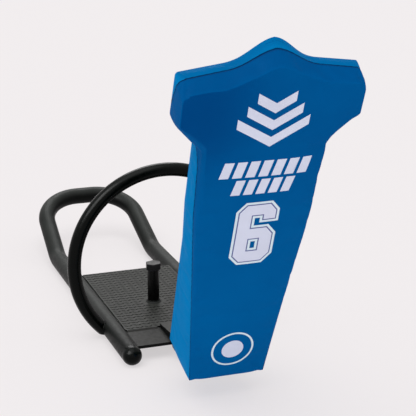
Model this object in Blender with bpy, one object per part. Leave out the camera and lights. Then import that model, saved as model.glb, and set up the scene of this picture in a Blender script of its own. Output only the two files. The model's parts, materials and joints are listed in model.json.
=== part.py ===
"""Pop-up tackle dummy: a padded torso on a sprung arm, over a ballasted tube sled.

Units are metres, +Z is up and the dummy's chest faces -Y. The origin lies on the floor under the
middle of the whole object. Lengths along Y are measured from the centres of the runners' domed noses.
"""

import math

import bmesh
import bpy
from mathutils import Vector

# Clearances
SEAT_GAP = 0.0003
SPIGOT_CLEARANCE = 0.0010

# Runner tube, one bent length that is both runners and the raised rear loop
RUNNER_OD = 0.0762
RUNNER_WALL = 0.0034
RUNNER_SPACING = 0.455
RUNNER_LENGTH = 1.194
NOSE_COLLAR = 0.012
NOSE_SPIGOT = 0.038
DOME_START = math.radians(-78)
LOOP_LEG = 0.428
LOOP_RISE = math.radians(23.4)
LOOP_WIDTH = 0.425
TUBE_BEND_RADIUS = 0.18

# Roll hoop
HOOP_OD = 0.054
HOOP_WALL = 0.003
HOOP_RADIUS = 0.371
HOOP_Y = 0.299
HOOP_FOOT_OUTSET = 0.0316
HOOP_FOOT_HEIGHT = 0.019
HOOP_FOOT_OVERRUN = math.radians(6)

# Deck
DECK_TOP = 0.0686
TREAD_THICKNESS = 0.005
TREAD_START = 0.180
TREAD_LENGTH = 0.673
FRONT_PLATE_THICKNESS = 0.012
FRONT_PLATE_START = 0.021
FRONT_PLATE_UNDERLAP = 0.035
CROSS_TUBE_WIDTH = 0.050
CROSS_TUBE_HEIGHT = 0.025
CROSS_TUBE_WALL = 0.003
FRONT_TUBE_SETBACK = 0.035
REAR_TUBE_SETBACK = 0.053
STRINGER_THICKNESS = 0.006
STRINGER_SPACING = 0.120

# Ballast post
POST_Y = 0.450
POST_OD = 0.0483
POST_WALL = 0.0048
POST_HEIGHT = 0.140
FLANGE_WIDTH = 0.009
FLANGE_RISE = 0.006
FLANGE_LIP = 0.002
INSERT_LENGTH = 0.028
BOLT_SHANK = 0.030
BOLT_LENGTH = 0.030
BOLT_HEAD_FLATS = 0.057
BOLT_HEAD_HEIGHT = 0.024
BOLT_HEAD_CHAMFER = 0.0018
BOLT_HEAD_TURN = math.radians(18.7)
WASHER_OD = 0.060
WASHER_HOLE_CLEARANCE = 0.0005
WASHER_THICKNESS = 0.004

# Hinge
PIN_Y = -0.005
PIN_Z = 0.062
PIN_DIAMETER = 0.022
PIN_HEAD_DIAMETER = 0.032
PIN_HEAD_THICKNESS = 0.005
PIN_WASHER_OD = 0.036
PIN_WASHER_THICKNESS = 0.003
PIN_NUT_FLATS = 0.034
PIN_NUT_THICKNESS = 0.018
PIN_THREAD_PROUD = 0.003
PIN_CHAMFER = 0.001
CHEEK_GAP = 0.098
CHEEK_THICKNESS = 0.010
CHEEK_NOSE_RADIUS = 0.025
COVER_THICKNESS = 0.005
COVER_REAR_RISE = 0.016
COVER_SLOPE = math.atan2(0.011, 0.135)
BARREL_OD = 0.034
BUSH_OD = 0.026
BUSH_FLANGE = 0.0025
BUSH_LENGTH = 0.030

# Arm
WEB_THICKNESS = 0.008
WEB_SPACING = 0.080
HUB_RADIUS = 0.028
WEB_FOOT_S = 0.090
WEB_TOP_S = 0.500
WEB_TOP_WIDTH = 0.030
STRAP_THICKNESS = 0.006
STRAP_START = 0.040
STRAP_TOP_SETBACK = 0.030
ARM_SWING = math.radians(50)
HEEL_REACH = 0.046
HEEL_DEPTH = 0.0125
FRONT_STOP_HEIGHT = 0.010
FRONT_STOP_WIDTH = 0.012
REAR_STOP_THICKNESS = 0.0084
REAR_STOP_SIDE_GAP = 0.001
STOP_CLEARANCE = 0.001
HUB_CLEARANCE = 0.0025

# Double torsion spring
WIRE = 0.007
COIL_DIAMETER = 0.046
COIL_PITCH = 0.0076
COIL_TURNS = 3.25
COIL_POINTS = 10
SPRING_LEG = 0.095
SADDLE_THICKNESS = 0.006
SADDLE_LENGTH = 0.020
SADDLE_SETBACK = 0.010

# Padded torso, measured along its back seam from the bottom edge (s) and behind the seam (depth)
PAD_LEAN = math.radians(18.5)
PAD_FOOT_Y = -0.416
PAD_FOOT_Z = 0.099
WAIST_HALF_WIDTH = 0.140
CHEST_HALF_WIDTH = 0.204
CHEST_S = 0.720
ARMPIT_HALF_WIDTH = 0.213
ARMPIT_S = 0.972
ARMPIT_RADIUS = 0.022
SHOULDER_HALF_WIDTH = 0.301
SHOULDER_S = 1.072
SHOULDER_RADIUS = 0.040
CORNER_HALF_WIDTH = 0.303
CORNER_S = 1.233
CORNER_RADIUS = 0.010
SHOULDER_SLOPE = 0.15
NECK_HEIGHT = 0.040
NECK_HALF_WIDTH = 0.155
NECK_BACK_HEIGHT = 0.021
NECK_BACK_HALF_WIDTH = 0.120
FOAM_NECK_EASE = 0.40
BOARD_NECK_EASE = 0.70
FOOT_DEPTH = 0.232
KINK_S = 0.560
KINK_DEPTH = 0.105
TOP_DEPTH = 0.044
FRONT_GROWTH = 0.0402
FRONT_CROWN = 0.006
TOP_CHAMFER = 0.033
CORNER_DRAW_IN = 0.015
WAIST_EDGE = 0.010
SHOULDER_EDGE = 0.004
UNDERARM_CHAMFER = 0.038
UNDERARM_START = (-0.010, 0.050)
UNDERARM_END = (-0.012, 0.020)
CROWN_FADE = 0.150
SIDE_BULGE = 0.0025
FOAM_BULGE = 0.0015
COVER_FLAP = 0.048
SKIN_THICKNESS = 0.002
BOARD_THICKNESS = 0.012
BOARD_PARTING = 0.001
SPINE_WIDTH = 0.110
SPINE_THICKNESS = 0.006
SPINE_START_S = 0.080
SPINE_END_S = 1.050
BOARD_BOLT_SHANK = 0.008
BOARD_BOLT_FLATS = 0.013
BOARD_BOLT_HEAD = 0.0053
BOARD_BOLT_REACH = 0.010
INSERT_OD = 0.012
INSERT_REACH = 0.0112
LOWER_BOLT_ROWS = (0.160, 0.440)
LOWER_BOLT_SPACING = 0.044
UPPER_BOLT_ROWS = (0.680, 0.960)
UPPER_BOLT_SPACING = 0.070

# Facets
STRAIGHT = 1e-6
RUNNER_SIDES = 16
ROUND_SIDES = 24
FASTENER_SIDES = 12
BEND_STEP = math.radians(10)
HOOP_STEP = math.radians(10.5)
DOME_STEP = math.radians(16)
PLATE_ARC_STEP = math.radians(15)
WIRE_STEP = math.radians(23)
OUTLINE_STEP = math.radians(6)
SHARP_EDGE = math.radians(32)

# Places that follow from the sizes above
RUNNER_RADIUS = RUNNER_OD / 2
RUNNER_X = RUNNER_SPACING / 2
LOOP_Y = RUNNER_LENGTH + LOOP_LEG * math.cos(LOOP_RISE)
LOOP_Z = RUNNER_RADIUS + LOOP_LEG * math.sin(LOOP_RISE)
TREAD_BOTTOM = DECK_TOP - TREAD_THICKNESS
TREAD_END = TREAD_START + TREAD_LENGTH
PLATE_TOP = TREAD_BOTTOM - SEAT_GAP
PLATE_BOTTOM = PLATE_TOP - FRONT_PLATE_THICKNESS
PLATE_END = TREAD_START + FRONT_PLATE_UNDERLAP
CROSS_BOTTOM = PLATE_TOP - CROSS_TUBE_HEIGHT
CHEEK_INNER = CHEEK_GAP / 2
CHEEK_OUTER = CHEEK_INNER + CHEEK_THICKNESS
WEB_INNER = (WEB_SPACING - WEB_THICKNESS) / 2
WEB_OUTER = WEB_INNER + WEB_THICKNESS
NOTCH_Y = PIN_Y + HUB_RADIUS + HUB_CLEARANCE
FRONT_STOP_BOTTOM = PLATE_BOTTOM - SEAT_GAP - FRONT_STOP_HEIGHT
FLANGE_RADIUS = POST_OD / 2 + SEAT_GAP + FLANGE_WIDTH
COIL_RADIUS = COIL_DIAMETER / 2
LEG_Z = PIN_Z - COIL_RADIUS

# Grid of the padded torso: rows up it, and columns as shares of the flat and of the rounded edge
LOWER_ROWS = (0.0, COVER_FLAP, 0.150, 0.350, KINK_S, CHEST_S)
ARMPIT_RISES = (-0.120, -0.055, -0.020, 0.0, 0.015, 0.035, 0.065)
SHOULDER_RISES = (-0.015, 0.005, 0.025, 0.065)
TOP_DROPS = (COVER_FLAP, TOP_CHAMFER * 1.15, TOP_CHAMFER * 0.8, TOP_CHAMFER * 0.25, 0.0)
FLAT_SHARES = (0.21, 0.43, 0.66, 1.0)
EDGE_SHARES = (1.0, 0.35, 0.0)
EDGE_COLUMNS = len(EDGE_SHARES)


def material(name, colour, roughness, metallic):
    """A plain Principled material; the colour is linear RGB."""
    made = bpy.data.materials.new(name)
    made.use_nodes = True
    shader = made.node_tree.nodes["Principled BSDF"]
    shader.inputs["Base Color"].default_value = (*colour, 1)
    shader.inputs["Roughness"].default_value = roughness
    shader.inputs["Metallic"].default_value = metallic
    made.diffuse_color = (*colour, 1)
    return made


def empty(name, location, parent=None, lean=0.0):
    """A frame to build in; lean turns it about X, top towards the front."""
    frame = bpy.data.objects.new(name, None)
    frame.location = location
    frame.rotation_euler = (lean, 0, 0)
    frame.parent = parent
    bpy.context.collection.objects.link(frame)
    return frame


def add_object(name, bm, made_of, parent, smooth=True):
    """Turn a bmesh into a named object under its parent frame."""
    bmesh.ops.recalc_face_normals(bm, faces=bm.faces)
    mesh = bpy.data.meshes.new(name)
    bm.to_mesh(mesh)
    bm.free()
    if smooth:
        mesh.shade_smooth()
        mesh.set_sharp_from_angle(angle=SHARP_EDGE)
    if made_of:
        mesh.materials.append(made_of)
    part = bpy.data.objects.new(name, mesh)
    part.parent = parent
    bpy.context.collection.objects.link(part)
    return part


def add_cutter(name, bm, parent):
    """A solid that only cuts others."""
    tool = add_object(name, bm, None, parent, smooth=False)
    tool.hide_render = True
    tool.display_type = "WIRE"
    return tool


def cut(part, tool):
    """Take the tool's shape out of the part."""
    step = part.modifiers.new(tool.name, "BOOLEAN")
    step.operation = "DIFFERENCE"
    step.solver = "EXACT"
    step.object = tool


def loft(bm, rings, closed_ends=True, around=False):
    """Join rings of equal count by quads; around joins the last ring to the first."""
    made = []
    for ring in rings:
        made.append([bm.verts.new(point) for point in ring])
    pairs = list(zip(made, made[1:]))
    if around:
        pairs.append((made[-1], made[0]))
    for ring, following in pairs:
        for k in range(len(ring)):
            n = (k + 1) % len(ring)
            bm.faces.new((ring[k], ring[n], following[n], following[k]))
    if closed_ends and not around:
        bm.faces.new(made[0])
        bm.faces.new(made[-1])


def prism(bm, outline, x_from, x_to):
    """Extrude a (y, z) outline across X."""
    loft(bm, [[(x, y, z) for y, z in outline] for x in (x_from, x_to)])


def block(bm, x, y, z):
    """A box from its three ranges."""
    prism(bm, [(y[0], z[0]), (y[1], z[0]), (y[1], z[1]), (y[0], z[1])], x[0], x[1])


def circle(radius, sides=ROUND_SIDES, turn=0.0):
    """Corner points of a regular polygon round the origin."""
    angles = [turn + 2 * math.pi * k / sides for k in range(sides)]
    return [(radius * math.cos(a), radius * math.sin(a)) for a in angles]


def hexagon(flats, sides):
    """Points round a hexagon's outline at equal angles, so that it meets a round ring."""
    points = []
    for k in range(sides):
        angle = 2 * math.pi * k / sides
        off_flat = angle % (math.pi / 3) - math.pi / 6
        points.append(on_circle(flats / 2 / math.cos(off_flat), angle))
    return points


def upright(points, z, centre=(0, 0)):
    """A ring of points lying level at height z."""
    return [(centre[0] + u, centre[1] + v, z) for u, v in points]


def sideways(points, x, centre=(0, 0)):
    """A ring of points standing square to X."""
    return [(x, centre[0] + u, centre[1] + v) for u, v in points]


def rod(bm, place, sections, sides=ROUND_SIDES, centre=(0, 0)):
    """A solid turned piece: sections are (radius, station) along its axis."""
    loft(bm, [place(circle(radius, sides), at, centre) for radius, at in sections])


def collar(bm, place, outer, inner, start, end, sides=ROUND_SIDES, centre=(0, 0)):
    """A ring with a plain bore."""
    corners = ((outer, start), (outer, end), (inner, end), (inner, start))
    loft(bm, [place(circle(radius, sides), at, centre) for radius, at in corners], around=True)


def arc(radius, start, end, step, centre=(0, 0)):
    """Points along a circular arc, both ends included."""
    count = max(1, math.ceil(abs(end - start) / step))
    angles = [start + (end - start) * k / count for k in range(count + 1)]
    return [(centre[0] + radius * math.cos(a), centre[1] + radius * math.sin(a)) for a in angles]


def rounded_path(corners, radii, step=BEND_STEP):
    """A path through the corners with each inner corner bent to its radius."""
    path = [Vector(corners[0])]
    for before, corner, after, radius in zip(corners, corners[1:], corners[2:], radii):
        corner = Vector(corner)
        into = (corner - Vector(before)).normalized()
        out = (Vector(after) - corner).normalized()
        turn = into.angle(out)
        setback = radius * math.tan(turn / 2)
        inward = (out - into).normalized()
        centre = corner + inward * (radius / math.cos(turn / 2))
        start = corner - into * setback - centre
        count = max(1, math.ceil(turn / step))
        for k in range(count + 1):
            share = k / count
            weight_in = math.sin((1 - share) * turn) / math.sin(turn)
            weight_out = math.sin(share * turn) / math.sin(turn)
            path.append(centre + start * weight_in + (corner + out * setback - centre) * weight_out)
    path.append(Vector(corners[-1]))
    return path


def tube(bm, path, outer, inner, sides, side_ways):
    """Sweep a round tube along a path; side_ways is a first direction square to it."""
    count = len(path)
    across = Vector(side_ways)
    rings = {outer: [], inner: []}
    for k, point in enumerate(path):
        before = (point - path[max(k - 1, 0)]).normalized()
        after = (path[min(k + 1, count - 1)] - point).normalized()
        heading = (before + after).normalized()
        across = (across - heading * across.dot(heading)).normalized()
        mitre = 1 / heading.dot(after if k < count - 1 else before)
        bend = after - before
        bent = 0 < k < count - 1 and bend.length > STRAIGHT
        bend.normalize()
        other = heading.cross(across)
        for radius in rings:
            ring = []
            for u, v in circle(radius, sides):
                offset = across * u + other * v
                if bent:
                    offset += bend * offset.dot(bend) * (mitre - 1)
                ring.append(point + offset)
            rings[radius].append(ring)
    loft(bm, rings[outer] + rings[inner][::-1], around=True)


def runner_inner_half(height):
    """Half the clear width between the runners at a height."""
    reach = RUNNER_RADIUS + SEAT_GAP
    rise = min(abs(height - RUNNER_RADIUS), reach)
    return RUNNER_X - math.sqrt(reach ** 2 - rise ** 2)


def build_runners(steel, dome):
    """The bent runner tube and its two domed nose plugs."""
    bm = bmesh.new()
    corners = []
    for x, loop_x in ((-RUNNER_X, -LOOP_WIDTH / 2), (RUNNER_X, LOOP_WIDTH / 2)):
        side = [(x, NOSE_COLLAR, RUNNER_RADIUS), (x, RUNNER_LENGTH, RUNNER_RADIUS)]
        side.append((loop_x, LOOP_Y, LOOP_Z))
        corners += side if x < 0 else side[::-1]
    path = rounded_path(corners, [TUBE_BEND_RADIUS] * 4)
    tube(bm, path, RUNNER_RADIUS, RUNNER_RADIUS - RUNNER_WALL, RUNNER_SIDES, (1, 0, 0))
    add_object("runner_tube", bm, steel, datum)
    spigot = RUNNER_RADIUS - RUNNER_WALL - SPIGOT_CLEARANCE
    shoulder = NOSE_COLLAR - SEAT_GAP
    dome_sections = arc(RUNNER_RADIUS, DOME_START, 0, DOME_STEP)
    profile = dome_sections + [(RUNNER_RADIUS, shoulder), (spigot, shoulder)]
    profile.append((spigot, shoulder + NOSE_SPIGOT))
    for side, x in (("left", -RUNNER_X), ("right", RUNNER_X)):
        bm = bmesh.new()
        rings = []
        for radius, y in profile:
            ring = circle(radius, RUNNER_SIDES)
            rings.append([(x + u, y, RUNNER_RADIUS + v) for u, v in ring])
        loft(bm, rings)
        add_object("runner_nose_" + side, bm, dome, datum)


def build_hoop(gloss):
    """The roll hoop, coped round the outer sides of the runners."""
    foot_x = RUNNER_X + HOOP_FOOT_OUTSET
    drop = math.sqrt(HOOP_RADIUS ** 2 - foot_x ** 2)
    centre_z = RUNNER_RADIUS + drop
    foot_angle = math.asin(drop / HOOP_RADIUS) + HOOP_FOOT_OVERRUN
    points = arc(HOOP_RADIUS, -foot_angle, math.pi + foot_angle, HOOP_STEP)
    path = [Vector((x, HOOP_Y, centre_z + z)) for x, z in points]
    bm = bmesh.new()
    tube(bm, path, HOOP_OD / 2, HOOP_OD / 2 - HOOP_WALL, RUNNER_SIDES, (0, 1, 0))
    hoop = add_object("roll_hoop", bm, gloss, datum)
    bm = bmesh.new()
    notch = (RUNNER_RADIUS + SEAT_GAP) / math.cos(math.pi / ROUND_SIDES)
    reach = HOOP_OD
    for x in (-RUNNER_X, RUNNER_X):
        rings = []
        for y in (HOOP_Y - reach, HOOP_Y + reach):
            rings.append([(x + u, y, RUNNER_RADIUS + v) for u, v in circle(notch)])
        loft(bm, rings)
    cut(hoop, add_cutter("runner_cope", bm, datum))
    bm = bmesh.new()
    side = HOOP_RADIUS + HOOP_OD
    below = -HOOP_OD
    block(bm, (-side, side), (HOOP_Y - reach, HOOP_Y + reach), (below, HOOP_FOOT_HEIGHT))
    cut(hoop, add_cutter("hoop_foot_cut", bm, datum))


def build_deck(tread, plate, steel):
    """Tread plate, thick front plate, and the cross tubes and stringers under them."""
    half = runner_inner_half(TREAD_BOTTOM)
    bm = bmesh.new()
    block(bm, (-half, half), (TREAD_START, TREAD_END), (TREAD_BOTTOM, DECK_TOP))
    plate_with_hole = add_object("tread_plate", bm, tread, datum, smooth=False)
    bm = bmesh.new()
    hole = (FLANGE_RADIUS + SEAT_GAP) / math.cos(math.pi / ROUND_SIDES)
    rod(bm, upright, ((hole, TREAD_BOTTOM - TREAD_THICKNESS), (hole, DECK_TOP + TREAD_THICKNESS)),
        centre=(0, POST_Y))
    cut(plate_with_hole, add_cutter("flange_hole", bm, datum))

    notch = CHEEK_INNER - STOP_CLEARANCE
    levels = ((PLATE_BOTTOM, runner_inner_half(PLATE_BOTTOM)), (PLATE_TOP, runner_inner_half(PLATE_TOP)))
    bm = bmesh.new()
    rings = []
    for z, half in levels:
        outline = [(half, FRONT_PLATE_START), (half, PLATE_END), (-half, PLATE_END)]
        outline += [(-half, FRONT_PLATE_START), (-notch, FRONT_PLATE_START), (-notch, NOTCH_Y)]
        outline += [(notch, NOTCH_Y), (notch, FRONT_PLATE_START)]
        rings.append([(x, y, z) for x, y in outline])
    loft(bm, rings)
    add_object("front_plate", bm, plate, datum, smooth=False)

    front_y = PLATE_END + FRONT_TUBE_SETBACK
    rear_y = TREAD_END - REAR_TUBE_SETBACK
    half = runner_inner_half(RUNNER_RADIUS)
    places = (("front", front_y), ("middle", POST_Y), ("rear", rear_y))
    for name, y in places:
        outer_y = CROSS_TUBE_WIDTH / 2
        inner_y = outer_y - CROSS_TUBE_WALL
        bm = bmesh.new()
        sections = []
        for reach, wall in ((outer_y, 0.0), (inner_y, CROSS_TUBE_WALL)):
            low, high = CROSS_BOTTOM + wall, PLATE_TOP - wall
            outline = [(y - reach, low), (y + reach, low), (y + reach, high), (y - reach, high)]
            sections.append([[(x, u, v) for u, v in outline] for x in (-half, half)])
        loft(bm, sections[0] + sections[1][::-1], around=True)
        add_object("cross_member_" + name, bm, steel, datum, smooth=False)

    edge = CROSS_TUBE_WIDTH / 2 + SEAT_GAP
    for bay, start, end in (("front", front_y, POST_Y), ("rear", POST_Y, rear_y)):
        for side, x in (("left", -STRINGER_SPACING / 2), ("right", STRINGER_SPACING / 2)):
            across = (x - STRINGER_THICKNESS / 2, x + STRINGER_THICKNESS / 2)
            bm = bmesh.new()
            block(bm, across, (start + edge, end - edge), (CROSS_BOTTOM, PLATE_TOP))
            add_object("stringer_%s_%s" % (bay, side), bm, steel, datum, smooth=False)


def build_post(steel, zinc):
    """The ballast post with its base flange and thread insert, its washer and its bolt."""
    centre = (0, POST_Y)
    base = PLATE_TOP + SEAT_GAP
    top = DECK_TOP + POST_HEIGHT
    outer = POST_OD / 2
    inner = outer - POST_WALL
    bm = bmesh.new()
    collar(bm, upright, outer, inner, base, top, centre=centre)
    add_object("weight_post", bm, steel, datum)

    fit = outer + SEAT_GAP
    rings = []
    for radius, z in ((fit, base), (FLANGE_RADIUS, base), (FLANGE_RADIUS, DECK_TOP),
                      (fit + FLANGE_LIP, DECK_TOP + FLANGE_RISE), (fit, DECK_TOP + FLANGE_RISE)):
        rings.append(upright(circle(radius), z, centre))
    bm = bmesh.new()
    loft(bm, rings, around=True)
    add_object("post_base_flange", bm, steel, datum)

    bore = BOLT_SHANK / 2 + SEAT_GAP
    bm = bmesh.new()
    collar(bm, upright, inner - SEAT_GAP, bore, top - INSERT_LENGTH, top, centre=centre)
    add_object("post_thread_insert", bm, zinc, datum)

    washer_z = top + SEAT_GAP
    head_z = washer_z + WASHER_THICKNESS + SEAT_GAP
    washer_frame = empty("ballast_washer_frame", (0, POST_Y, washer_z), datum)
    bm = bmesh.new()
    hole = BOLT_SHANK / 2 + WASHER_HOLE_CLEARANCE
    collar(bm, upright, WASHER_OD / 2, hole, 0, WASHER_THICKNESS)
    add_object("retainer_washer", bm, zinc, washer_frame)

    bolt_frame = empty("ballast_bolt_frame", (0, POST_Y, head_z), datum)
    rings = [upright(circle(BOLT_SHANK / 2), z) for z in (-BOLT_LENGTH, 0)]
    shoulder = BOLT_HEAD_HEIGHT - BOLT_HEAD_CHAMFER
    for flats, z in ((BOLT_HEAD_FLATS, 0), (BOLT_HEAD_FLATS, shoulder),
                     (BOLT_HEAD_FLATS - 2 * BOLT_HEAD_CHAMFER, BOLT_HEAD_HEIGHT)):
        rings.append(upright(hexagon(flats, ROUND_SIDES), z))
    bm = bmesh.new()
    loft(bm, rings)
    bolt = add_object("retainer_bolt", bm, zinc, bolt_frame)
    bolt.rotation_euler = (0, 0, BOLT_HEAD_TURN)


def cover_underside(y):
    """Height of the hinge cover's underside."""
    rear = PLATE_TOP + COVER_REAR_RISE - COVER_THICKNESS
    return rear + (TREAD_START - y) * math.tan(COVER_SLOPE)


def tangent_angle(point, radius, side):
    """Angle on a circle at the origin where the line from a point touches it."""
    distance = math.hypot(*point)
    return math.atan2(point[1], point[0]) + side * math.acos(radius / distance)


def on_circle(radius, angle):
    return (radius * math.cos(angle), radius * math.sin(angle))


def pad_to_arm(depth, s):
    """A side-view point of the pad frame, seen from the hinge pin."""
    y = PAD_FOOT_Y - PIN_Y + depth * math.cos(PAD_LEAN) - s * math.sin(PAD_LEAN)
    z = PAD_FOOT_Z - PIN_Z + depth * math.sin(PAD_LEAN) + s * math.cos(PAD_LEAN)
    return (y, z)


def back_depth(s):
    """Depth of the pad's back behind the seam plane; the back is kinked once."""
    if s < KINK_S:
        return FOOT_DEPTH + (KINK_DEPTH - FOOT_DEPTH) * s / KINK_S
    return KINK_DEPTH + (TOP_DEPTH - KINK_DEPTH) * (s - KINK_S) / (CORNER_S - KINK_S)


def web_corners():
    """Foot, top and rear top of an arm web, seen from the hinge pin."""
    spine_back = SPINE_THICKNESS + SEAT_GAP - SKIN_THICKNESS
    slope = (FOOT_DEPTH - KINK_DEPTH) / KINK_S
    reach = spine_back * math.hypot(1, slope) + SEAT_GAP
    foot = pad_to_arm(back_depth(WEB_FOOT_S) + reach, WEB_FOOT_S)
    top = pad_to_arm(back_depth(WEB_TOP_S) + reach, WEB_TOP_S)
    normal = math.atan2(top[1] - foot[1], top[0] - foot[0]) - math.pi / 2
    rear = (top[0] + WEB_TOP_WIDTH * math.cos(normal), top[1] + WEB_TOP_WIDTH * math.sin(normal))
    return foot, top, rear


def rear_stop_front():
    """Where the front face of the rear stop lies, so the webs meet it just past the full swing."""
    rear = web_corners()[2]
    touch = tangent_angle(rear, HUB_RADIUS, -1)
    lean = ARM_SWING - touch
    height = cover_underside(NOTCH_Y) - PIN_Z
    return PIN_Y + (HUB_RADIUS + STOP_CLEARANCE) / math.cos(lean) + height * math.tan(lean)


def build_hinge(steel, tread, zinc, rubber):
    """Cheeks, cover, pin set and the two stops."""
    stop_front = rear_stop_front()
    cover_start = stop_front + REAR_STOP_THICKNESS + SEAT_GAP
    cheek_end = TREAD_START - SEAT_GAP
    cheek_bottom = PLATE_TOP + SEAT_GAP
    front_face = FRONT_PLATE_START - SEAT_GAP
    drop = max(cheek_bottom - PIN_Z, -CHEEK_NOSE_RADIUS)
    reach = min(front_face - PIN_Y, CHEEK_NOSE_RADIUS)
    low_angle = -math.acos(reach / CHEEK_NOSE_RADIUS)
    top_corner = (cover_start - PIN_Y, cover_underside(cover_start) - SEAT_GAP - PIN_Z)
    top_angle = tangent_angle(top_corner, CHEEK_NOSE_RADIUS, 1)
    nose = arc(CHEEK_NOSE_RADIUS, low_angle, top_angle - 2 * math.pi, PLATE_ARC_STEP, (PIN_Y, PIN_Z))
    outline = [(cheek_end, cheek_bottom), (front_face, PIN_Z + drop)] + nose
    outline.append((cover_start, cover_underside(cover_start) - SEAT_GAP))
    outline.append((cheek_end, cover_underside(cheek_end) - SEAT_GAP))
    bm = bmesh.new()
    bore = PIN_DIAMETER / 2 + SEAT_GAP
    rod(bm, sideways, ((bore, -CHEEK_OUTER - WIRE), (bore, CHEEK_OUTER + WIRE)), centre=(PIN_Y, PIN_Z))
    drill = add_cutter("pin_drill", bm, datum)
    for side, sign in (("left", -1), ("right", 1)):
        bm = bmesh.new()
        prism(bm, outline, sign * CHEEK_INNER, sign * CHEEK_OUTER)
        cheek = add_object("hinge_cheek_" + side, bm, steel, datum)
        cut(cheek, drill)

    bm = bmesh.new()
    low_front, low_rear = cover_underside(cover_start), cover_underside(TREAD_START)
    outline = [(cover_start, low_front), (TREAD_START, low_rear)]
    outline += [(y, z + COVER_THICKNESS) for y, z in outline[::-1]]
    prism(bm, outline, -CHEEK_OUTER, CHEEK_OUTER)
    add_object("hinge_cover", bm, tread, datum, smooth=False)

    face = CHEEK_OUTER + SEAT_GAP
    washer_end = face + PIN_WASHER_THICKNESS
    nut_end = washer_end + SEAT_GAP + PIN_NUT_THICKNESS
    shank = PIN_DIAMETER / 2
    head = PIN_HEAD_DIAMETER / 2
    start = -face - PIN_HEAD_THICKNESS
    end = nut_end + PIN_THREAD_PROUD
    sections = ((head - PIN_CHAMFER, start), (head, start + PIN_CHAMFER), (head, -face), (shank, -face),
                (shank, end - PIN_CHAMFER), (shank - PIN_CHAMFER, end))
    bm = bmesh.new()
    rod(bm, sideways, sections, centre=(PIN_Y, PIN_Z))
    add_object("hinge_pin", bm, zinc, datum)
    bm = bmesh.new()
    collar(bm, sideways, PIN_WASHER_OD / 2, bore, face, washer_end, centre=(PIN_Y, PIN_Z))
    add_object("pin_washer", bm, zinc, datum)
    bm = bmesh.new()
    nut = []
    for points in (circle(bore), hexagon(PIN_NUT_FLATS, ROUND_SIDES)):
        nut.append([sideways(points, x, (PIN_Y, PIN_Z)) for x in (washer_end + SEAT_GAP, nut_end)])
    loft(bm, nut[1] + nut[0][::-1], around=True)
    add_object("pin_lock_nut", bm, zinc, datum, smooth=False)

    half = FRONT_STOP_WIDTH / 2
    stop_start = NOTCH_Y + STOP_CLEARANCE
    for side, x in (("left", -WEB_SPACING / 2), ("right", WEB_SPACING / 2)):
        bm = bmesh.new()
        block(bm, (x - half, x + half), (stop_start, PIN_Y + HEEL_REACH),
              (FRONT_STOP_BOTTOM, PLATE_BOTTOM - SEAT_GAP))
        add_object("front_stop_pad_" + side, bm, rubber, datum, smooth=False)
    bm = bmesh.new()
    half = CHEEK_INNER - REAR_STOP_SIDE_GAP
    stop_end = stop_front + REAR_STOP_THICKNESS
    top = cover_underside(NOTCH_Y)
    block(bm, (-half, half), (stop_front, stop_end), (PLATE_TOP + SEAT_GAP, top))
    add_object("rear_stop_pad", bm, rubber, datum, smooth=False)


def spring_path():
    """The wire's centreline: right coil, leg, bend, leg and left coil, in one run."""
    start_x = WEB_INNER - SEAT_GAP - WIRE / 2
    steps = round(COIL_TURNS * COIL_POINTS)
    turn = 2 * math.pi / COIL_POINTS
    last = -math.pi / 2
    coil = []
    for k in range(steps + 1):
        angle = last - (steps - k) * turn
        x = start_x - COIL_PITCH * k / COIL_POINTS
        y, z = on_circle(COIL_RADIUS, angle)
        coil.append(Vector((x, PIN_Y + y, PIN_Z + z)))
    leg_x = coil[-1].x
    bend_y = PIN_Y + SPRING_LEG - leg_x
    bend = [Vector((leg_x, PIN_Y + SPRING_LEG / 3, LEG_Z))]
    for u, v in arc(leg_x, 0, math.pi / 2, WIRE_STEP):
        bend.append(Vector((u, bend_y + v, LEG_Z)))
    half = coil + bend
    return half + [Vector((-p.x, p.y, p.z)) for p in half[-2::-1]]


def least_gap(path, diameter):
    """Least clear distance between stretches of the wire that aren't neighbours along it."""
    samples = []
    for k, (start, end) in enumerate(zip(path, path[1:])):
        samples += [(k, start.lerp(end, share / 6)) for share in range(6)]
    near = COIL_POINTS // 2
    distances = [(p - q).length for i, p in samples for j, q in samples if j - i > near]
    return min(distances) - diameter


def build_spring(wire_steel, steel):
    """The double torsion spring, and the strap that holds its middle bend."""
    path = spring_path()
    curve = bpy.data.curves.new("double_torsion_spring", "CURVE")
    curve.dimensions = "3D"
    curve.bevel_depth = WIRE / 2
    curve.bevel_resolution = 1
    curve.use_fill_caps = True
    curve.materials.append(wire_steel)
    spline = curve.splines.new("POLY")
    spline.points.add(len(path) - 1)
    for point, place in zip(spline.points, path):
        point.co = (*place, 1)
    spline.use_smooth = True
    spring = bpy.data.objects.new("double_torsion_spring", curve)
    spring.parent = datum
    bpy.context.collection.objects.link(spring)
    print("double torsion spring, least gap to itself: %.2f mm" % (least_gap(path, WIRE) * 1000))

    leg_x = max(p.x for p in path if p.y > PIN_Y + SPRING_LEG / 2)
    inner = leg_x + WIRE / 2 + STOP_CLEARANCE
    outer = inner + SADDLE_THICKNESS
    floor = LEG_Z - WIRE / 2 - SEAT_GAP
    top = PLATE_BOTTOM - SEAT_GAP
    outline = [(-outer, floor - SADDLE_THICKNESS), (outer, floor - SADDLE_THICKNESS), (outer, top)]
    outline += [(inner, top), (inner, floor), (-inner, floor), (-inner, top), (-outer, top)]
    end = PIN_Y + SPRING_LEG - SADDLE_SETBACK
    bm = bmesh.new()
    loft(bm, [[(x, y, z) for x, z in outline] for y in (end - SADDLE_LENGTH, end)])
    add_object("spring_saddle", bm, steel, datum, smooth=False)


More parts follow.
